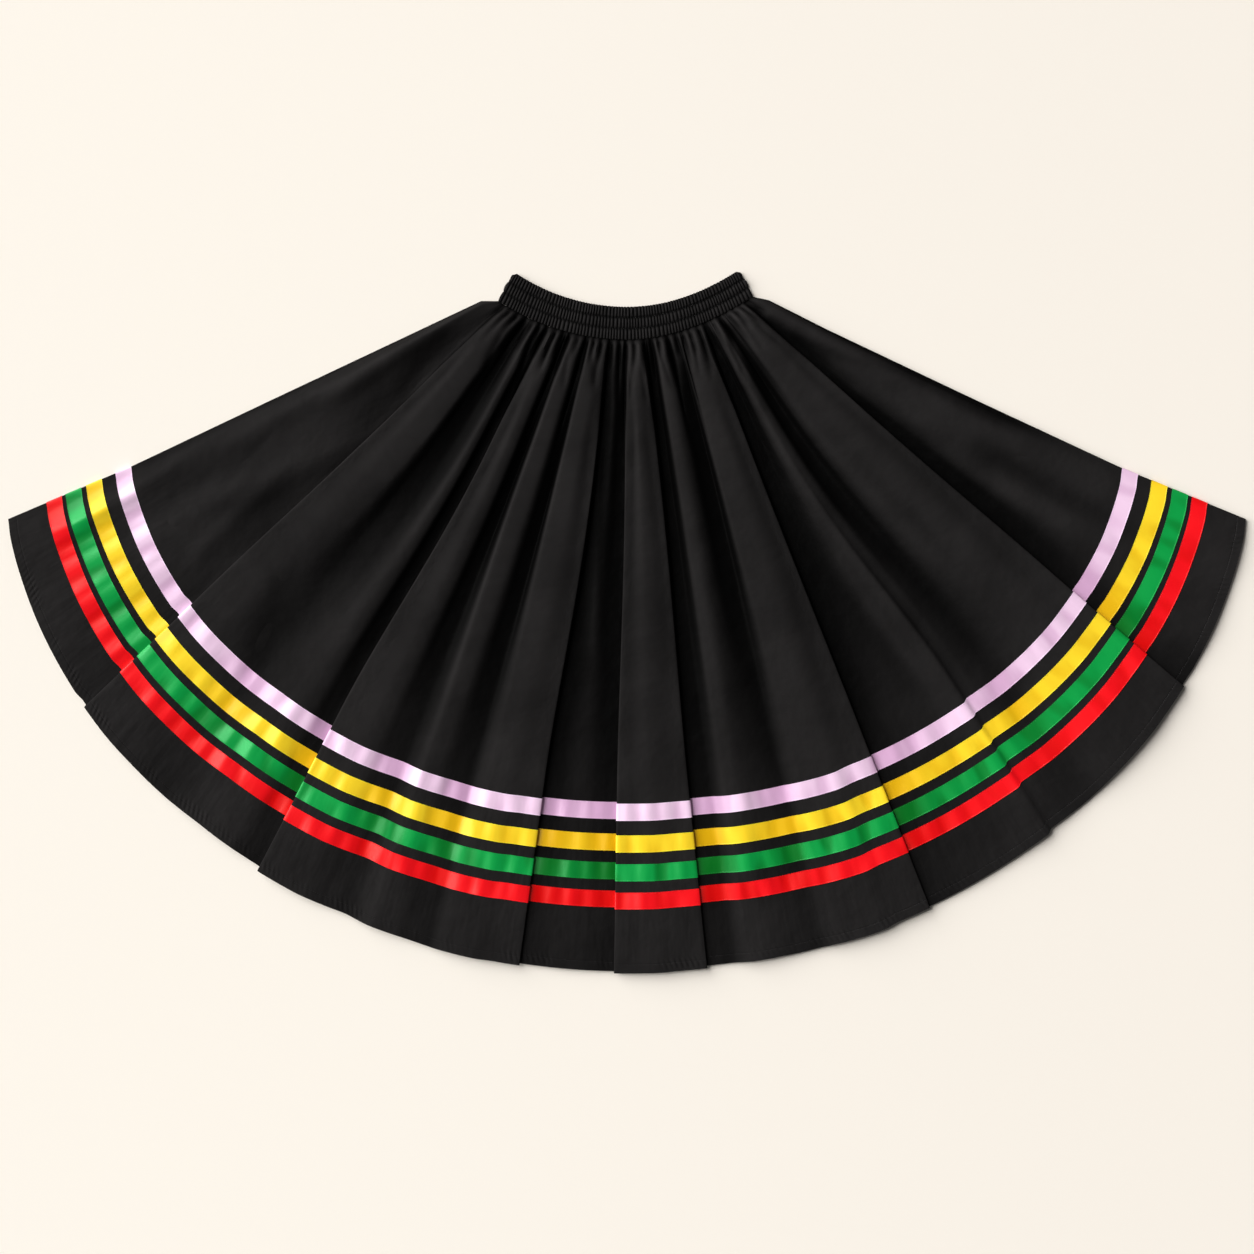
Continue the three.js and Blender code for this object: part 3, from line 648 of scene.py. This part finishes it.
def gathers(n, t):
    """Minus a narrow bell in each valley, exp(-(distance / width) squared), as deep as its own
    length allows at this t."""
    height = np.zeros_like(n)
    rise = ease(t / 0.012) * 0.7 + 0.3
    for k in range(1, GATHERS):
        near = np.abs(n - k) < 1.5
        left = np.clip(1 - t / valley_length[k], 0, 1)
        bell = np.exp(-(((n - k) / mix(*VALLEY_WIDTH, left)) ** 2)) * left**0.8
        height -= np.where(near, bell, 0) * valley_depth[k] * DEEPEST * rise
    return height * from_seams(n)


def heads(deg, t):
    """Domes: sqrt(1 - |2u - 1|^2.6) across, a quarter circle down from the seam, then fading."""
    dome = np.zeros_like(deg)
    for left, right, height in HEADS:
        u = np.clip(2 * (deg - left) / (right - left) - 1, -1, 1)
        dome = np.maximum(dome, height * np.sqrt(1 - np.abs(u) ** 2.6))
    down = np.clip(t / HEAD_ROUND, 0, 1)
    start, end = HEAD_FADE
    return dome * np.sqrt(1 - (1 - down) ** 2) * (1 - ease((t - start) / (end - start)))


def drags(deg, t):
    """A bell across each slanting line, faded in and out over the ends of its length."""
    height = np.zeros_like(deg)
    local = per_degree(deg, t)
    for deg0, t0, deg1, t1, width, high in DRAGS:
        along = (t - t0) / (t1 - t0)
        off = (deg - mix(deg0, deg1, along)) * local
        ends = ease(along / 0.3) * ease((1 - along) / 0.3)
        height += high * np.exp(-((off / width) ** 2)) * ends
    return height


def front_extra(deg, t):
    n = gather_number(deg)
    base = np.interp(t, FRONT_LEVELS["t"], FRONT_LEVELS["base"]) * from_seams(n)
    return base + heads(deg, t) + gathers(n, t) + drags(deg, t)


RIBBON_LIFT, LIFTED_FROM = 1.3, 0.4  # mm, and t


def ribbon_lift(deg, t):
    """The back is lifted by one ribbon where its ribbons lie under it."""
    first = hem_place(RIBBONS["lilac"][0] + 23, RIBBONS["lilac"][1] + 23)(deg)
    last = hem_place(*RIBBONS["red"][:2])(deg)
    up = np.clip((t - LIFTED_FROM) / (first - LIFTED_FROM), 0, 1)
    return RIBBON_LIFT * np.minimum(up, np.clip((1 - t) / (1 - last), 0, 1))


def back_extra(deg, t):
    n = gather_number(deg)
    wave = 0.5 - 0.5 * np.cos(2 * np.pi * n)
    size = np.interp(t, BACK_LEVELS["t"], BACK_LEVELS["gathers"])
    return ribbon_lift(deg, t) + wave * size * from_seams(n)


print("valley lengths, share of the skirt:", valley_length.round(2)[:6], "...")

# %% [markdown]
# ### From rows and columns to cloth
#
# Both faces of the cloth are its middle surface moved along the normals by half its thickness.
# The inner one gets only a few of the rows, because nobody sees it. Their edges are closed, so
# the mesh is one thin solid shell.

# %% Middle surfaces


def travelled(points):
    """How far along a line of points each one lies."""
    steps = np.linalg.norm(np.diff(points, axis=0), axis=1)
    return np.concatenate([[0], np.cumsum(steps)])


front = surface(
    front_stations, FRONT_LEVELS, FRONT_Z, spacing=4.6, seam_z=SIDE_SEAM_Z + GAP / 2,
    extra=front_extra, lap_start=FRONT_LAP_START, taller=True,
)
back = surface(
    back_stations, BACK_LEVELS, BACK_Z, spacing=9.0, seam_z=SIDE_SEAM_Z - GAP / 2,
    extra=back_extra, lap_start=BACK_LAP_START, taller=False,
)
SIDES = (("front", front, 1), ("back", back, -1))  # 1: the outer face looks up
for side, panel, _ in SIDES:
    hem, high = travelled(panel["p"][-1])[-1], panel["p"][..., 2].max()
    print(side, panel["p"].shape, "hem", round(hem), "mm, height", high.round(1))

# %% [markdown]
# ### Hollows
#
# The real folds are deeper than the room over the solids, and their valleys darker. So each point
# gets a number for how deep it lies between the folds beside it, over a wide reach and over a
# narrow one, and shade is painted into the cloth's colour there: less on the left, where the cloth
# lies open to the light, and more close under the waistband.

# %% Hollows
BIN = 0.25  # degrees
BINS = int(2 * SIDE / BIN)
# degrees to each side, mm that count as deep, and the share left at the flatter hem
REACHES = ((4.5, 12.0, 1.0), (1.6, 5.5, 0.3))
FLATTER_FROM, FLATTER_OVER = 0.45, 0.4  # t
OPEN_SIDE, OPEN_BLEND, OPEN_SHARE = -48.0, 1.5, 0.4  # left of here it lies open to the light
# Painted shade close under the waistband.
SEAM_SHADE, SEAM_SHADE_T = 0.8, 0.009  # close under the waistband it is darker too


def windows(values, reach):
    """Every value with its neighbours up to reach to both sides, as one more axis in front."""
    wide = np.pad(values, ((0, 0), (reach, reach)), mode="edge")
    return np.stack([wide[:, i : i + values.shape[1]] for i in range(2 * reach + 1)])


def hollows(panel):
    """How much shade to paint into the cloth's colour, 0 on the folds and 1 in the deep valleys:
    the highest cloth within reach to each side, smoothed, minus the cloth's own height, over a
    depth."""
    where = np.clip(((panel["deg"] + SIDE) / BIN).round().astype(int), 0, BINS)
    row = np.broadcast_to(np.arange(ROWS)[:, None], where.shape)
    top = np.zeros((ROWS, BINS + 1))
    np.maximum.at(top, (row, where), panel["high"])
    lit = 1.0
    for reach, deep, at_hem in REACHES:
        cells = int(reach / BIN)
        level = windows(windows(top, cells).max(axis=0), cells).mean(axis=0)
        share = mix(1, at_hem, ease((panel["t"] - FLATTER_FROM) / FLATTER_OVER))
        lit = lit * (1 - share * ease((level[row, where] - panel["high"]) / deep))
    open_side = ease((OPEN_SIDE - panel["deg"]) / OPEN_BLEND)
    under_band = SEAM_SHADE * ease(1 - panel["t"] / SEAM_SHADE_T)
    return np.maximum((1 - lit) * mix(1, OPEN_SHARE, open_side), under_band)


for _, panel, _ in SIDES:
    panel["hollow"] = hollows(panel)
print("cloth in hollows, share:", round(float((front["hollow"] > 0.5).mean()), 2))

# %% [markdown]
# ### The cut and the run
#
# The finishes need to know where a point lies on the cloth, not on the table: the weave follows
# the flat cut, and the puckers follow the hem. Both are stored as UV maps in metres.

# %% The cut and the run
CUT_ANGLE = 146  # degrees of the ring that one panel is cut from
CUT_WAIST = 196  # radius of its inner edge, mm


def cloth_maps(panel):
    """cut: the place on the flat cloth, from the radius and angle in its ring, so that the weave
    runs straight down the middle of the cut. run: along the hem, and up from it."""
    along = travelled(panel["p"][-1])
    angle = np.radians(CUT_ANGLE) * (along / along[-1] - 0.5)[None, :]
    down = panel["t"] * line_length(panel["deg"])
    radius = CUT_WAIST + down
    cut = np.stack([radius * np.sin(angle), -radius * np.cos(angle)], axis=2) * MM
    from_hem = line_length(panel["deg"]) - down
    run = np.stack([np.broadcast_to(along, down.shape), from_hem], axis=2) * MM
    return {"cut": cut, "run": run}


for _, panel, _ in SIDES:
    panel["maps"] = cloth_maps(panel)
print("cut width, m:", round(float(np.ptp(front["maps"]["cut"][..., 0])), 2))

# %% Shells
SHARP = math.radians(62)  # edges that turn more than this stay sharp


def add_mesh(name, points, faces, maps, material, hollow=None):
    """A mesh object at the origin from points in millimetres, its faces and its UV maps."""
    mesh = bpy.data.meshes.new(name)
    mesh.from_pydata((points * MM).tolist(), [], faces)
    corner = np.empty(len(mesh.loops), int)
    mesh.loops.foreach_get("vertex_index", corner)
    for key, uv in maps.items():
        mesh.uv_layers.new(name=key).data.foreach_set("uv", uv[corner].astype("f").ravel())
    depth = np.zeros(len(points)) if hollow is None else hollow
    mesh.attributes.new("hollow", "FLOAT", "POINT").data.foreach_set("value", depth.astype("f"))
    mesh.polygons.foreach_set("use_smooth", np.ones(len(mesh.polygons), bool))
    mesh.set_sharp_from_angle(angle=SHARP)
    mesh.materials.append(material)
    return add_object(name, mesh)


def grid_faces(ids, flip):
    """Quads over a grid of point numbers, facing up where the rows run towards the hem."""
    a, b, c, d = ids[:-1, :-1], ids[1:, :-1], ids[1:, 1:], ids[:-1, 1:]
    quads = np.stack([a, b, c, d], axis=-1).reshape(-1, 4)
    return (quads[:, ::-1] if flip else quads).tolist()


def shell(name, outer, inner, kept, maps, out, material, hollow):
    """Two faces and the edges between them. kept: the rows that the inner face has too; out: 1
    where the outer face looks up, -1 where it looks down."""
    high, wide = outer.shape[:2]
    top = np.arange(high * wide).reshape(high, wide)
    low = np.arange(len(kept) * wide).reshape(-1, wide) + high * wide
    turned = out < 0
    faces = grid_faces(top, turned) + grid_faces(low, not turned)
    rims = [
        np.stack([top[0, :-1], top[0, 1:], low[0, 1:], low[0, :-1]], axis=1),
        np.stack([top[-1, 1:], top[-1, :-1], low[-1, :-1], low[-1, 1:]], axis=1),
    ]
    edges = []
    for i, (a, b) in enumerate(zip(kept[:-1], kept[1:])):
        edges.append([low[i, 0], low[i + 1, 0], *top[a : b + 1, 0][::-1]])
        edges.append([low[i + 1, -1], low[i, -1], *top[a : b + 1, -1]])
    rim = np.concatenate(rims).tolist() + [[int(x) for x in edge] for edge in edges]
    faces += [face[::-1] for face in rim] if turned else rim
    points = np.concatenate([outer.reshape(-1, 3), inner[kept].reshape(-1, 3)])
    both = {k: np.concatenate([m.reshape(-1, 2), m[kept].reshape(-1, 2)]) for k, m in maps.items()}
    depth = np.concatenate([hollow.ravel(), hollow[kept].ravel()])
    return add_mesh(name, points, faces, both, material, depth)


# %% [markdown]
# ## Poplin
#
# The skirt is a plain black cotton poplin, a fine even weave and nearly matt. Real black cloth is
# never even, so its tone and gloss wander a little from patch to patch. Shade is also painted into
# its colour in the valleys between the folds and the ribs, where the real cloth lies in shadow.
# The weave, soft crumples and the hem's small puckers are relief.

# %% Poplin
BLACK = (0.0142, 0.0133, 0.0135)
WORN = (0.86, 1.16)  # times black, from patch to patch
# Painted shade: how dark the black is painted in the deepest valleys.
SHADE_IN_HOLLOWS = 0.08  # times black, in the deepest valleys
HEM_PUCKER = 0.0068  # metres from one slanting pucker to the next


def poplin_colour(at):
    patch = noise(at["cut"], 0.11, 3.0)
    plain = blend(patch.band(0.3, 0.7), *shades(BLACK, *WORN))
    # Painted shade: the black is drawn darker where the cloth lies deep between folds or ribs.
    return blend(at["hollow"], plain, *shades(BLACK, SHADE_IN_HOLLOWS))


def poplin_roughness(at):
    return noise(at["cut"], 0.05) * 0.1 + 0.56


def weave(at, pitch):
    """sin u sin v: threads over and under each other, pitch metres apart."""
    k = 2 * math.pi / pitch
    return (at["cut_x"] * k).sine() * (at["cut_y"] * k).sine()


def poplin_height(at):
    """Weave, crumples a few centimetres across, soft lines up from the hem, and in patches
    slanting puckers between the hem's stitches and its edge."""
    crumple = noise(at["cut"], 0.05, 3.0) * 0.0034
    radial = noise(at["run"], 0.016, 2.0, (1, 0.2)) * (1 - at["run_y"].band(0.10, 0.30)) * 0.0014
    near_hem = (1 - at["run_y"].band(0.011, 0.020)) * at["run_y"].band(0.001, 0.006)
    slanted = (at["run_x"] + at["run_y"] * 0.4) * (2 * math.pi / HEM_PUCKER)
    patches = noise(at["run"], 0.06, 1.0, (1, 0.2)).band(0.42, 0.62)
    puckers = slanted.sine() * near_hem * patches * 0.00022
    stitched = (1 - abs(at["run_y"] - HEM_TURN * MM).band(0.0004, 0.0012)) * -0.0002
    return crumple + radial + puckers + stitched + weave(at, 0.0007) * 0.00001


even = {"Specular IOR Level": 0.03}
poplin = finish_of("poplin", poplin_colour, poplin_roughness, poplin_height, **even)
print("poplin nodes:", len(poplin.node_tree.nodes))

# %% Front and back
UPPER = sum(count for _, count in PLAIN_ROWS[:-1])  # rows of the upper part, where the gathers are
KEPT = sorted({*range(0, UPPER, 3), *range(UPPER, ROWS - 1, 6), ROWS - 1})


def panel_shell(name, panel, out):
    half = panel["n"] * WALL / 2
    outer, inner = panel["p"] + out * half, panel["p"] - out * half
    return shell(name, outer, inner, KEPT, panel["maps"], out, poplin, panel["hollow"])


skirt_front = panel_shell("cloth_front", front, 1)
skirt_back = panel_shell("cloth_back", back, -1)
for piece in (skirt_front, skirt_back):
    piece.data.calc_loop_triangles()
    print(piece.name, len(piece.data.loop_triangles), "triangles")

# %% [markdown]
# ## Satin ribbons
#
# Each ribbon is cut from the points of the cloth under it, moved out, so it bends into every fold
# and lap. Satin is smooth and glossy: its long floating threads mirror the light in bright bands
# across each wave, and a firmly woven selvage edges it. In the valleys and between its soft waves,
# shade is painted into its colour, darker and more saturated.

# %% Satin
RIBBON_NEAR = WALL / 2 + 0.06  # its two faces, from the middle of the cloth
RIBBON_FAR = RIBBON_NEAR + 0.45
SATIN = {  # base colour, linear
    "lilac": (0.87, 0.62, 0.83),
    "yellow": (0.99, 0.69, 0.022),
    "green": (0.002, 0.33, 0.058),
    "red": (0.92, 0.004, 0.010),
}
GLINT = {  # colour of the satin's shine, which comes partly from inside the dyed threads
    "lilac": (1.0, 0.94, 1.0),
    "yellow": (1.0, 0.86, 0.40),
    "green": (0.35, 1.0, 0.52),
    "red": (1.0, 0.38, 0.34),
}
# Painted shade in the ribbons' valleys and between their waves: 0.78 c ** 1.6, as light that has
# met the dye twice.
SHADE_DARKENING, SHADE_SATURATION = 0.78, 1.6  # a fold's light has met the dye twice: 0.78 c ** 1.6


def rucks(at):
    """Soft waves across a ribbon, where the sewing drew it in a little."""
    return noise(at["run"], 0.025, 0.0, (1, 0.006))


def satin(name, colour):
    def tint(at):
        edge = abs(at["run_y"] - 0.5).band(0.455, 0.475)
        plain = blend(edge, *shades(colour, 1.0, 1.22))
        # Painted shade: in the valleys, and between the rucks' crests, the colour is blended
        # towards a darker, more saturated copy of itself.
        deep = (*(SHADE_DARKENING * c**SHADE_SATURATION for c in colour), 1)
        crest = rucks(at).band(0.32, 0.52) * 0.6 + 0.4
        return blend(1 - (1 - at["hollow"].band(0, 0.75)) * crest, plain, deep)

    def gloss(at):
        return noise(at["run"], 0.02, 2.0, (1, 0.02)) * 0.08 + 0.30

    def threads(at):
        """Floats run along the ribbon; the selvage is a firm rib along each edge."""
        rib = abs(at["run_y"] - 0.5).band(0.45, 0.475) * 0.00012
        crease = noise(at["run"], 0.010, 1.0, (1, 0.006)) * 0.0003
        return rib + crease + rucks(at) * 0.006

    even = {"Specular IOR Level": 0.68, "Specular Tint": (*GLINT[name], 1)}
    return finish_of(f"satin_{name}", tint, gloss, threads, **even)


def ribbon_run(p):
    """Metres along the ribbon from its points, and 0 to 1 across it."""
    along, across = travelled(p[-1]) * MM, travelled(p[:, 0])
    return np.stack(np.meshgrid(along, across / across[-1]), axis=2)


ribbons, ribbon_lengths = {}, {}
for name, colour in SATIN.items():
    material = satin(name, colour)
    first, last = ribbon_rows[name]
    kept, part = [0, last - first], slice(first, last + 1)
    for side, panel, out in SIDES:
        cloth, normals, hollow = panel["p"][part], panel["n"][part] * out, panel["hollow"][part]
        near, far = cloth + normals * RIBBON_NEAR, cloth + normals * RIBBON_FAR
        maps = {"cut": panel["maps"]["cut"][part], "run": ribbon_run(cloth)}
        ribbon_lengths[name, side] = float(np.ptp(maps["run"][..., 0]))
        piece = f"{name}_ribbon_{side}"
        ribbons[name, side] = shell(piece, far, near, kept, maps, out, material, hollow)
print("ribbons:", len(ribbons))

# %% [markdown]
# ## Waistband
#
# Three rows of elastic run through channels in a band of the same cloth. They draw it into many
# small ribs, pinched where the stitches between the channels hold them down. The band is one
# flattened loop, so its points run along the front and back along the back.

# %% Waistband
RIBS = 78
BAND_TOP_SIDE = 34.2
BAND_TOP = 6.0
BAND_ROUND = 2.9  # how far the loop's ends stand out
CORNER = 2.2  # how far the upper corners are drawn in
CHANNELS = 3
COLUMNS, LINES = 1900, 28
BAND_KEPT = [0, 9, 18, 27]  # lines that the inner face has too; 9 and 18 are stitched
BAND_LENGTH, BAND_DEPTH = 0.66, 0.041  # metres, for its UV map


def rib_shape(place, across, seed):
    """|sin| of the rib count, to a low power: round crests and narrow valleys. Each channel's ribs
    are shifted a little, and held down at the stitches on both sides of it."""
    channel = np.clip(np.floor(across * CHANNELS), 0, CHANNELS - 1)
    wander = 0.35 * np.sin(place * 19 + 2.1 * channel + seed)
    wander = wander + 0.2 * np.sin(place * 53 + 4 * channel)
    phase = place * RIBS + wander + 0.22 * channel
    rib = np.abs(np.sin(np.pi * phase)) ** 0.8
    start, end = np.where(channel == 0, 0.1, 0), np.where(channel == CHANNELS - 1, 0.9, 1)
    puff = np.sin(np.pi * mix(start, end, across * CHANNELS - channel))
    return np.clip(puff, 0, 1) ** 0.75, rib


def band_points(outer):
    """One face of the loop, columns round it and lines from the upper edge to the seam, with its
    place from left to right, its place down and how much shade to paint between its ribs and at
    its stitches."""
    u = np.linspace(0, 1, COLUMNS, endpoint=False)[:, None] + np.zeros((1, LINES))
    across = np.linspace(0, 1, LINES)[None, :] + np.zeros((COLUMNS, 1))
    end = 0.02  # share of the loop that each end's turn takes
    front_part = np.clip(u / (0.5 - end), 0, 1)
    back_part = np.clip((u - 0.5) / (0.5 - end), 0, 1)
    right = np.clip((u - (0.5 - end)) / end, 0, 1)
    left = np.clip((u - (1 - end)) / end, 0, 1)
    on_front = u < 0.5
    place = np.where(on_front, front_part, 1 - back_part)
    seam = mix(-SEAM_SIDE, SEAM_SIDE, place)
    angle = np.where(on_front, right, left) * np.pi
    out = BAND_ROUND * np.sin(angle)
    side = np.where(on_front, np.cos(angle), -np.cos(angle))
    puff, rib = rib_shape(place, across, np.where(on_front, 0.0, 3.0))
    thick = mix(0.45, 1.0, puff) * mix(0.32, 1.0, rib) if outer else 0 * puff + 0.1
    z = BAND_TOP / 2 * (1 + side * thick)
    x, y = waist_point(seam * mix(BAND_TOP_SIDE, SEAM_SIDE, across) / SEAM_SIDE, across)
    hand = np.sign(seam)
    a = np.radians(np.abs(seam))
    x, y = x + hand * out * np.cos(a) * thick, y + out * np.sin(a) * thick
    near_end = ease(1 - np.minimum(place, 1 - place) / 0.012) * ease(1 - across / 0.12)
    x, y = x - hand * CORNER * near_end, y - CORNER * near_end
    scallop = (rib - 0.5) * ease((0.08 - across) / 0.08)
    y = y + (scallop if outer else 0)
    # Painted shade: darker in the narrow valleys between the ribs and where the stitches pinch the
    # channels.
    hollow = 1 - ease(rib / 0.9) * ease(puff / 0.8)
    return np.stack([x, y, z], axis=2), place, across, hollow


outer_band, place, across, band_painted_shade = band_points(True)
inner_band = band_points(False)[0]


def both_faces(outer, inner, size):
    """One list of values for the points of both faces."""
    return np.concatenate([outer.reshape(-1, size), inner[:, BAND_KEPT].reshape(-1, size)])


def band_loop():
    """Both faces of the loop are closed round it, and joined along its two edges."""
    a = np.arange(COLUMNS * LINES).reshape(COLUMNS, LINES)
    b = np.arange(COLUMNS * len(BAND_KEPT)).reshape(COLUMNS, -1) + a.size
    a, b = np.concatenate([a, a[:1]]), np.concatenate([b, b[:1]])
    faces = grid_faces(a, False) + grid_faces(b, True)
    upper = np.stack([a[:-1, 0], a[1:, 0], b[1:, 0], b[:-1, 0]], axis=1)
    lower = np.stack([a[1:, -1], a[:-1, -1], b[:-1, -1], b[1:, -1]], axis=1)
    faces += np.concatenate([upper, lower]).tolist()
    flat = np.stack([place * BAND_LENGTH, across * BAND_DEPTH], axis=2)
    flat = both_faces(flat, flat, 2)
    depth = both_faces(band_painted_shade, band_painted_shade, 1).ravel()
    points = both_faces(outer_band, inner_band, 3)
    return add_mesh("waistband_loop", points, faces, {"cut": flat, "run": flat}, poplin, depth)


waistband = band_loop()
print("band height, mm:", outer_band[..., 2].min().round(2), outer_band[..., 2].max().round(2))

# %% [markdown]
# ## Stitches
#
# A machine seam shows as a row of short threads. Each is a small spindle: two tips in the cloth
# and four points round its middle. The rows follow the ribbons' edges, the hem and the two lines
# that part the channels of the waistband.

# %% Stitches
STITCH, STITCH_PITCH, THREAD = 2.3, 2.9, 0.17  # mm: seen length, from one to the next, half width
TIP_DEPTH = 0.05  # mm that a tip lies in the cloth
SPINDLE = np.array([
    (0, 1, 2), (0, 2, 3), (0, 3, 4), (0, 4, 1), (5, 2, 1), (5, 3, 2), (5, 4, 3), (5, 1, 4),
])
ROUND = [0, 0, 0.2, 0.4, 0.6, 0]  # mm round the thread at the six points, for its UV map


def thread_finish(name, colour):
    """Twisted thread: stripes across the stitch, and a soft gloss."""
    return finish_of(
        f"thread_{name}",
        lambda at: blend(noise(at["run"], 0.004), *shades(colour, 0.85, 1.15)),
        lambda at: noise(at["run"], 0.002) * 0.1 + 0.4,
        lambda at: ((at["run_x"] + at["run_y"]) * 9000).sine() * 0.00003,
    )


def stitches(name, line, up, material):
    """One spindle every pitch along a line of points, up being the cloth's outward normals."""
    length = travelled(line)
    start = np.arange(0.4, length[-1] - STITCH, STITCH_PITCH)

    def at(values, where):
        return np.stack([np.interp(where, length, values[:, i]) for i in range(3)], axis=1)

    a, b, middle = at(line, start), at(line, start + STITCH), at(line, start + STITCH / 2)
    n = at(up, start + STITCH / 2)
    side = np.cross(b - a, n)
    side *= THREAD / np.maximum(np.linalg.norm(side, axis=1, keepdims=True), 1e-6)
    round_ = [middle + side, middle + n * THREAD, middle - side, middle - n * THREAD / 2]
    points = np.stack([a - TIP_DEPTH * n, *round_, b - TIP_DEPTH * n], axis=1)
    faces = (SPINDLE[None] + 6 * np.arange(len(start))[:, None, None]).reshape(-1, 3)
    along = np.stack([start, *[start + STITCH / 2] * 4, start + STITCH], axis=1)
    flat = np.stack([along, 0 * along + ROUND], axis=2).reshape(-1, 2) * MM
    maps = {"cut": flat, "run": flat}
    return add_mesh(name, points.reshape(-1, 3), faces.tolist(), maps, material)


def joined(name, parts):
    """Several rows of stitches as one piece."""
    first = parts[0]
    first.name = first.data.name = name
    with bpy.context.temp_override(active_object=first, selected_editable_objects=parts):
        bpy.ops.object.join()
    return first


black_thread = thread_finish("black", (0.016, 0.015, 0.016))
sewing = {}
for name, colour in SATIN.items():
    dyed = thread_finish(name, [min(1, 1.05 * c + 0.02) for c in colour])
    for side, panel, out in SIDES:
        lines = []
        for k in (ribbon_rows[name][0] + 1, ribbon_rows[name][1] - 1):
            p, n = panel["p"][k], panel["n"][k]
            lines.append(stitches("row", p + out * RIBBON_FAR * n, out * n, dyed))
        sewing[name, side] = joined(f"{name}_ribbon_{side}_stitches", lines)
for side, panel, out in SIDES:
    n = out * panel["n"][HEM_STITCH_ROW]
    line = panel["p"][HEM_STITCH_ROW] + n * WALL / 2
    sewing["hem", side] = stitches(f"hem_stitches_{side}", line, n, black_thread)

SMOOTHED = 23  # points that a stitch line on the band is averaged over, about one rib
BAND_LIFT = 0.15
even_weights = np.ones(SMOOTHED) / SMOOTHED
lines = []
band_n = -normals_of(outer_band)
for k in BAND_KEPT[1:3]:
    loop = np.concatenate([outer_band[-SMOOTHED:, k], outer_band[:, k], outer_band[:SMOOTHED, k]])
    mean = np.stack([np.convolve(loop[:, i], even_weights, "same") for i in range(3)], axis=1)
    up = np.concatenate([band_n[:, k], band_n[:1, k]])
    line = mean[SMOOTHED : -SMOOTHED + 1] + BAND_LIFT * up
    lines.append(stitches("row", line, up, black_thread))
band_stitches = joined("waistband_stitches", lines)
sewn = [piece for piece in bpy.data.objects if "stitches" in piece.name]
print("stitches:", sum(len(piece.data.vertices) // 6 for piece in sewn))

# %% [markdown]
# ## What every piece stands for
#
# Each cloth replaces its plain solid, and it and its stitches join the root body. The size of its
# cut is worked out and printed. A half of the skirt is cut as part of a ring, so its area is less
# than that of the rectangle round it.

# %% Declarations
BAND_FLAT = (0.95, 0.041)  # the cloth of the band's outside, before the elastic drew it in


def cut_size(panel):
    """The rectangle round the flat cut, and the cut's own area: half the sum of x0 y1 - x1 y0."""
    cut = panel["maps"]["cut"]
    x, y = np.concatenate([cut[0], cut[:, -1], cut[-1, ::-1], cut[::-1, 0]]).T
    area = abs(float((x * np.roll(y, -1) - np.roll(x, -1) * y).sum())) / 2
    return (float(np.ptp(x)), float(np.ptp(y))), area


def declare(piece, node, slot, thread, **cloth):
    """The cloth and its stitches: hides the solid that it replaces and puts both on the root body.
    slot and the cloth's settings (flat, held, rests_on, area) are not used.
    """
    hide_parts(node)
    for part in (piece, thread):
        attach(part, "root")


for side, panel, piece, under in (
    ("front", front, skirt_front, skirt_back), ("back", back, skirt_back, table_top),
):
    flat, area = cut_size(panel)
    print(side, "cut", [round(x, 3) for x in flat], "m, area", round(area, 3), "m2")
    declare(
        piece, f"skirt_{side}", "poplin", sewing["hem", side],
        flat=flat, held="laid", rests_on=[under], area=area,
    )
    for name in RIBBONS:
        flat = (ribbon_lengths[name, side], RIBBONS[name][2] * MM)
        print(name, side, "ribbon", round(flat[0], 3), "m")
        declare(
            ribbons[name, side], f"ribbon_{name}_{side}", f"{name}_satin", sewing[name, side],
            flat=flat, held="laid", rests_on=[piece],
        )
declare(
    waistband, "waistband", "poplin", band_stitches,
    flat=BAND_FLAT, held="gathered", rests_on=[table_top],
)
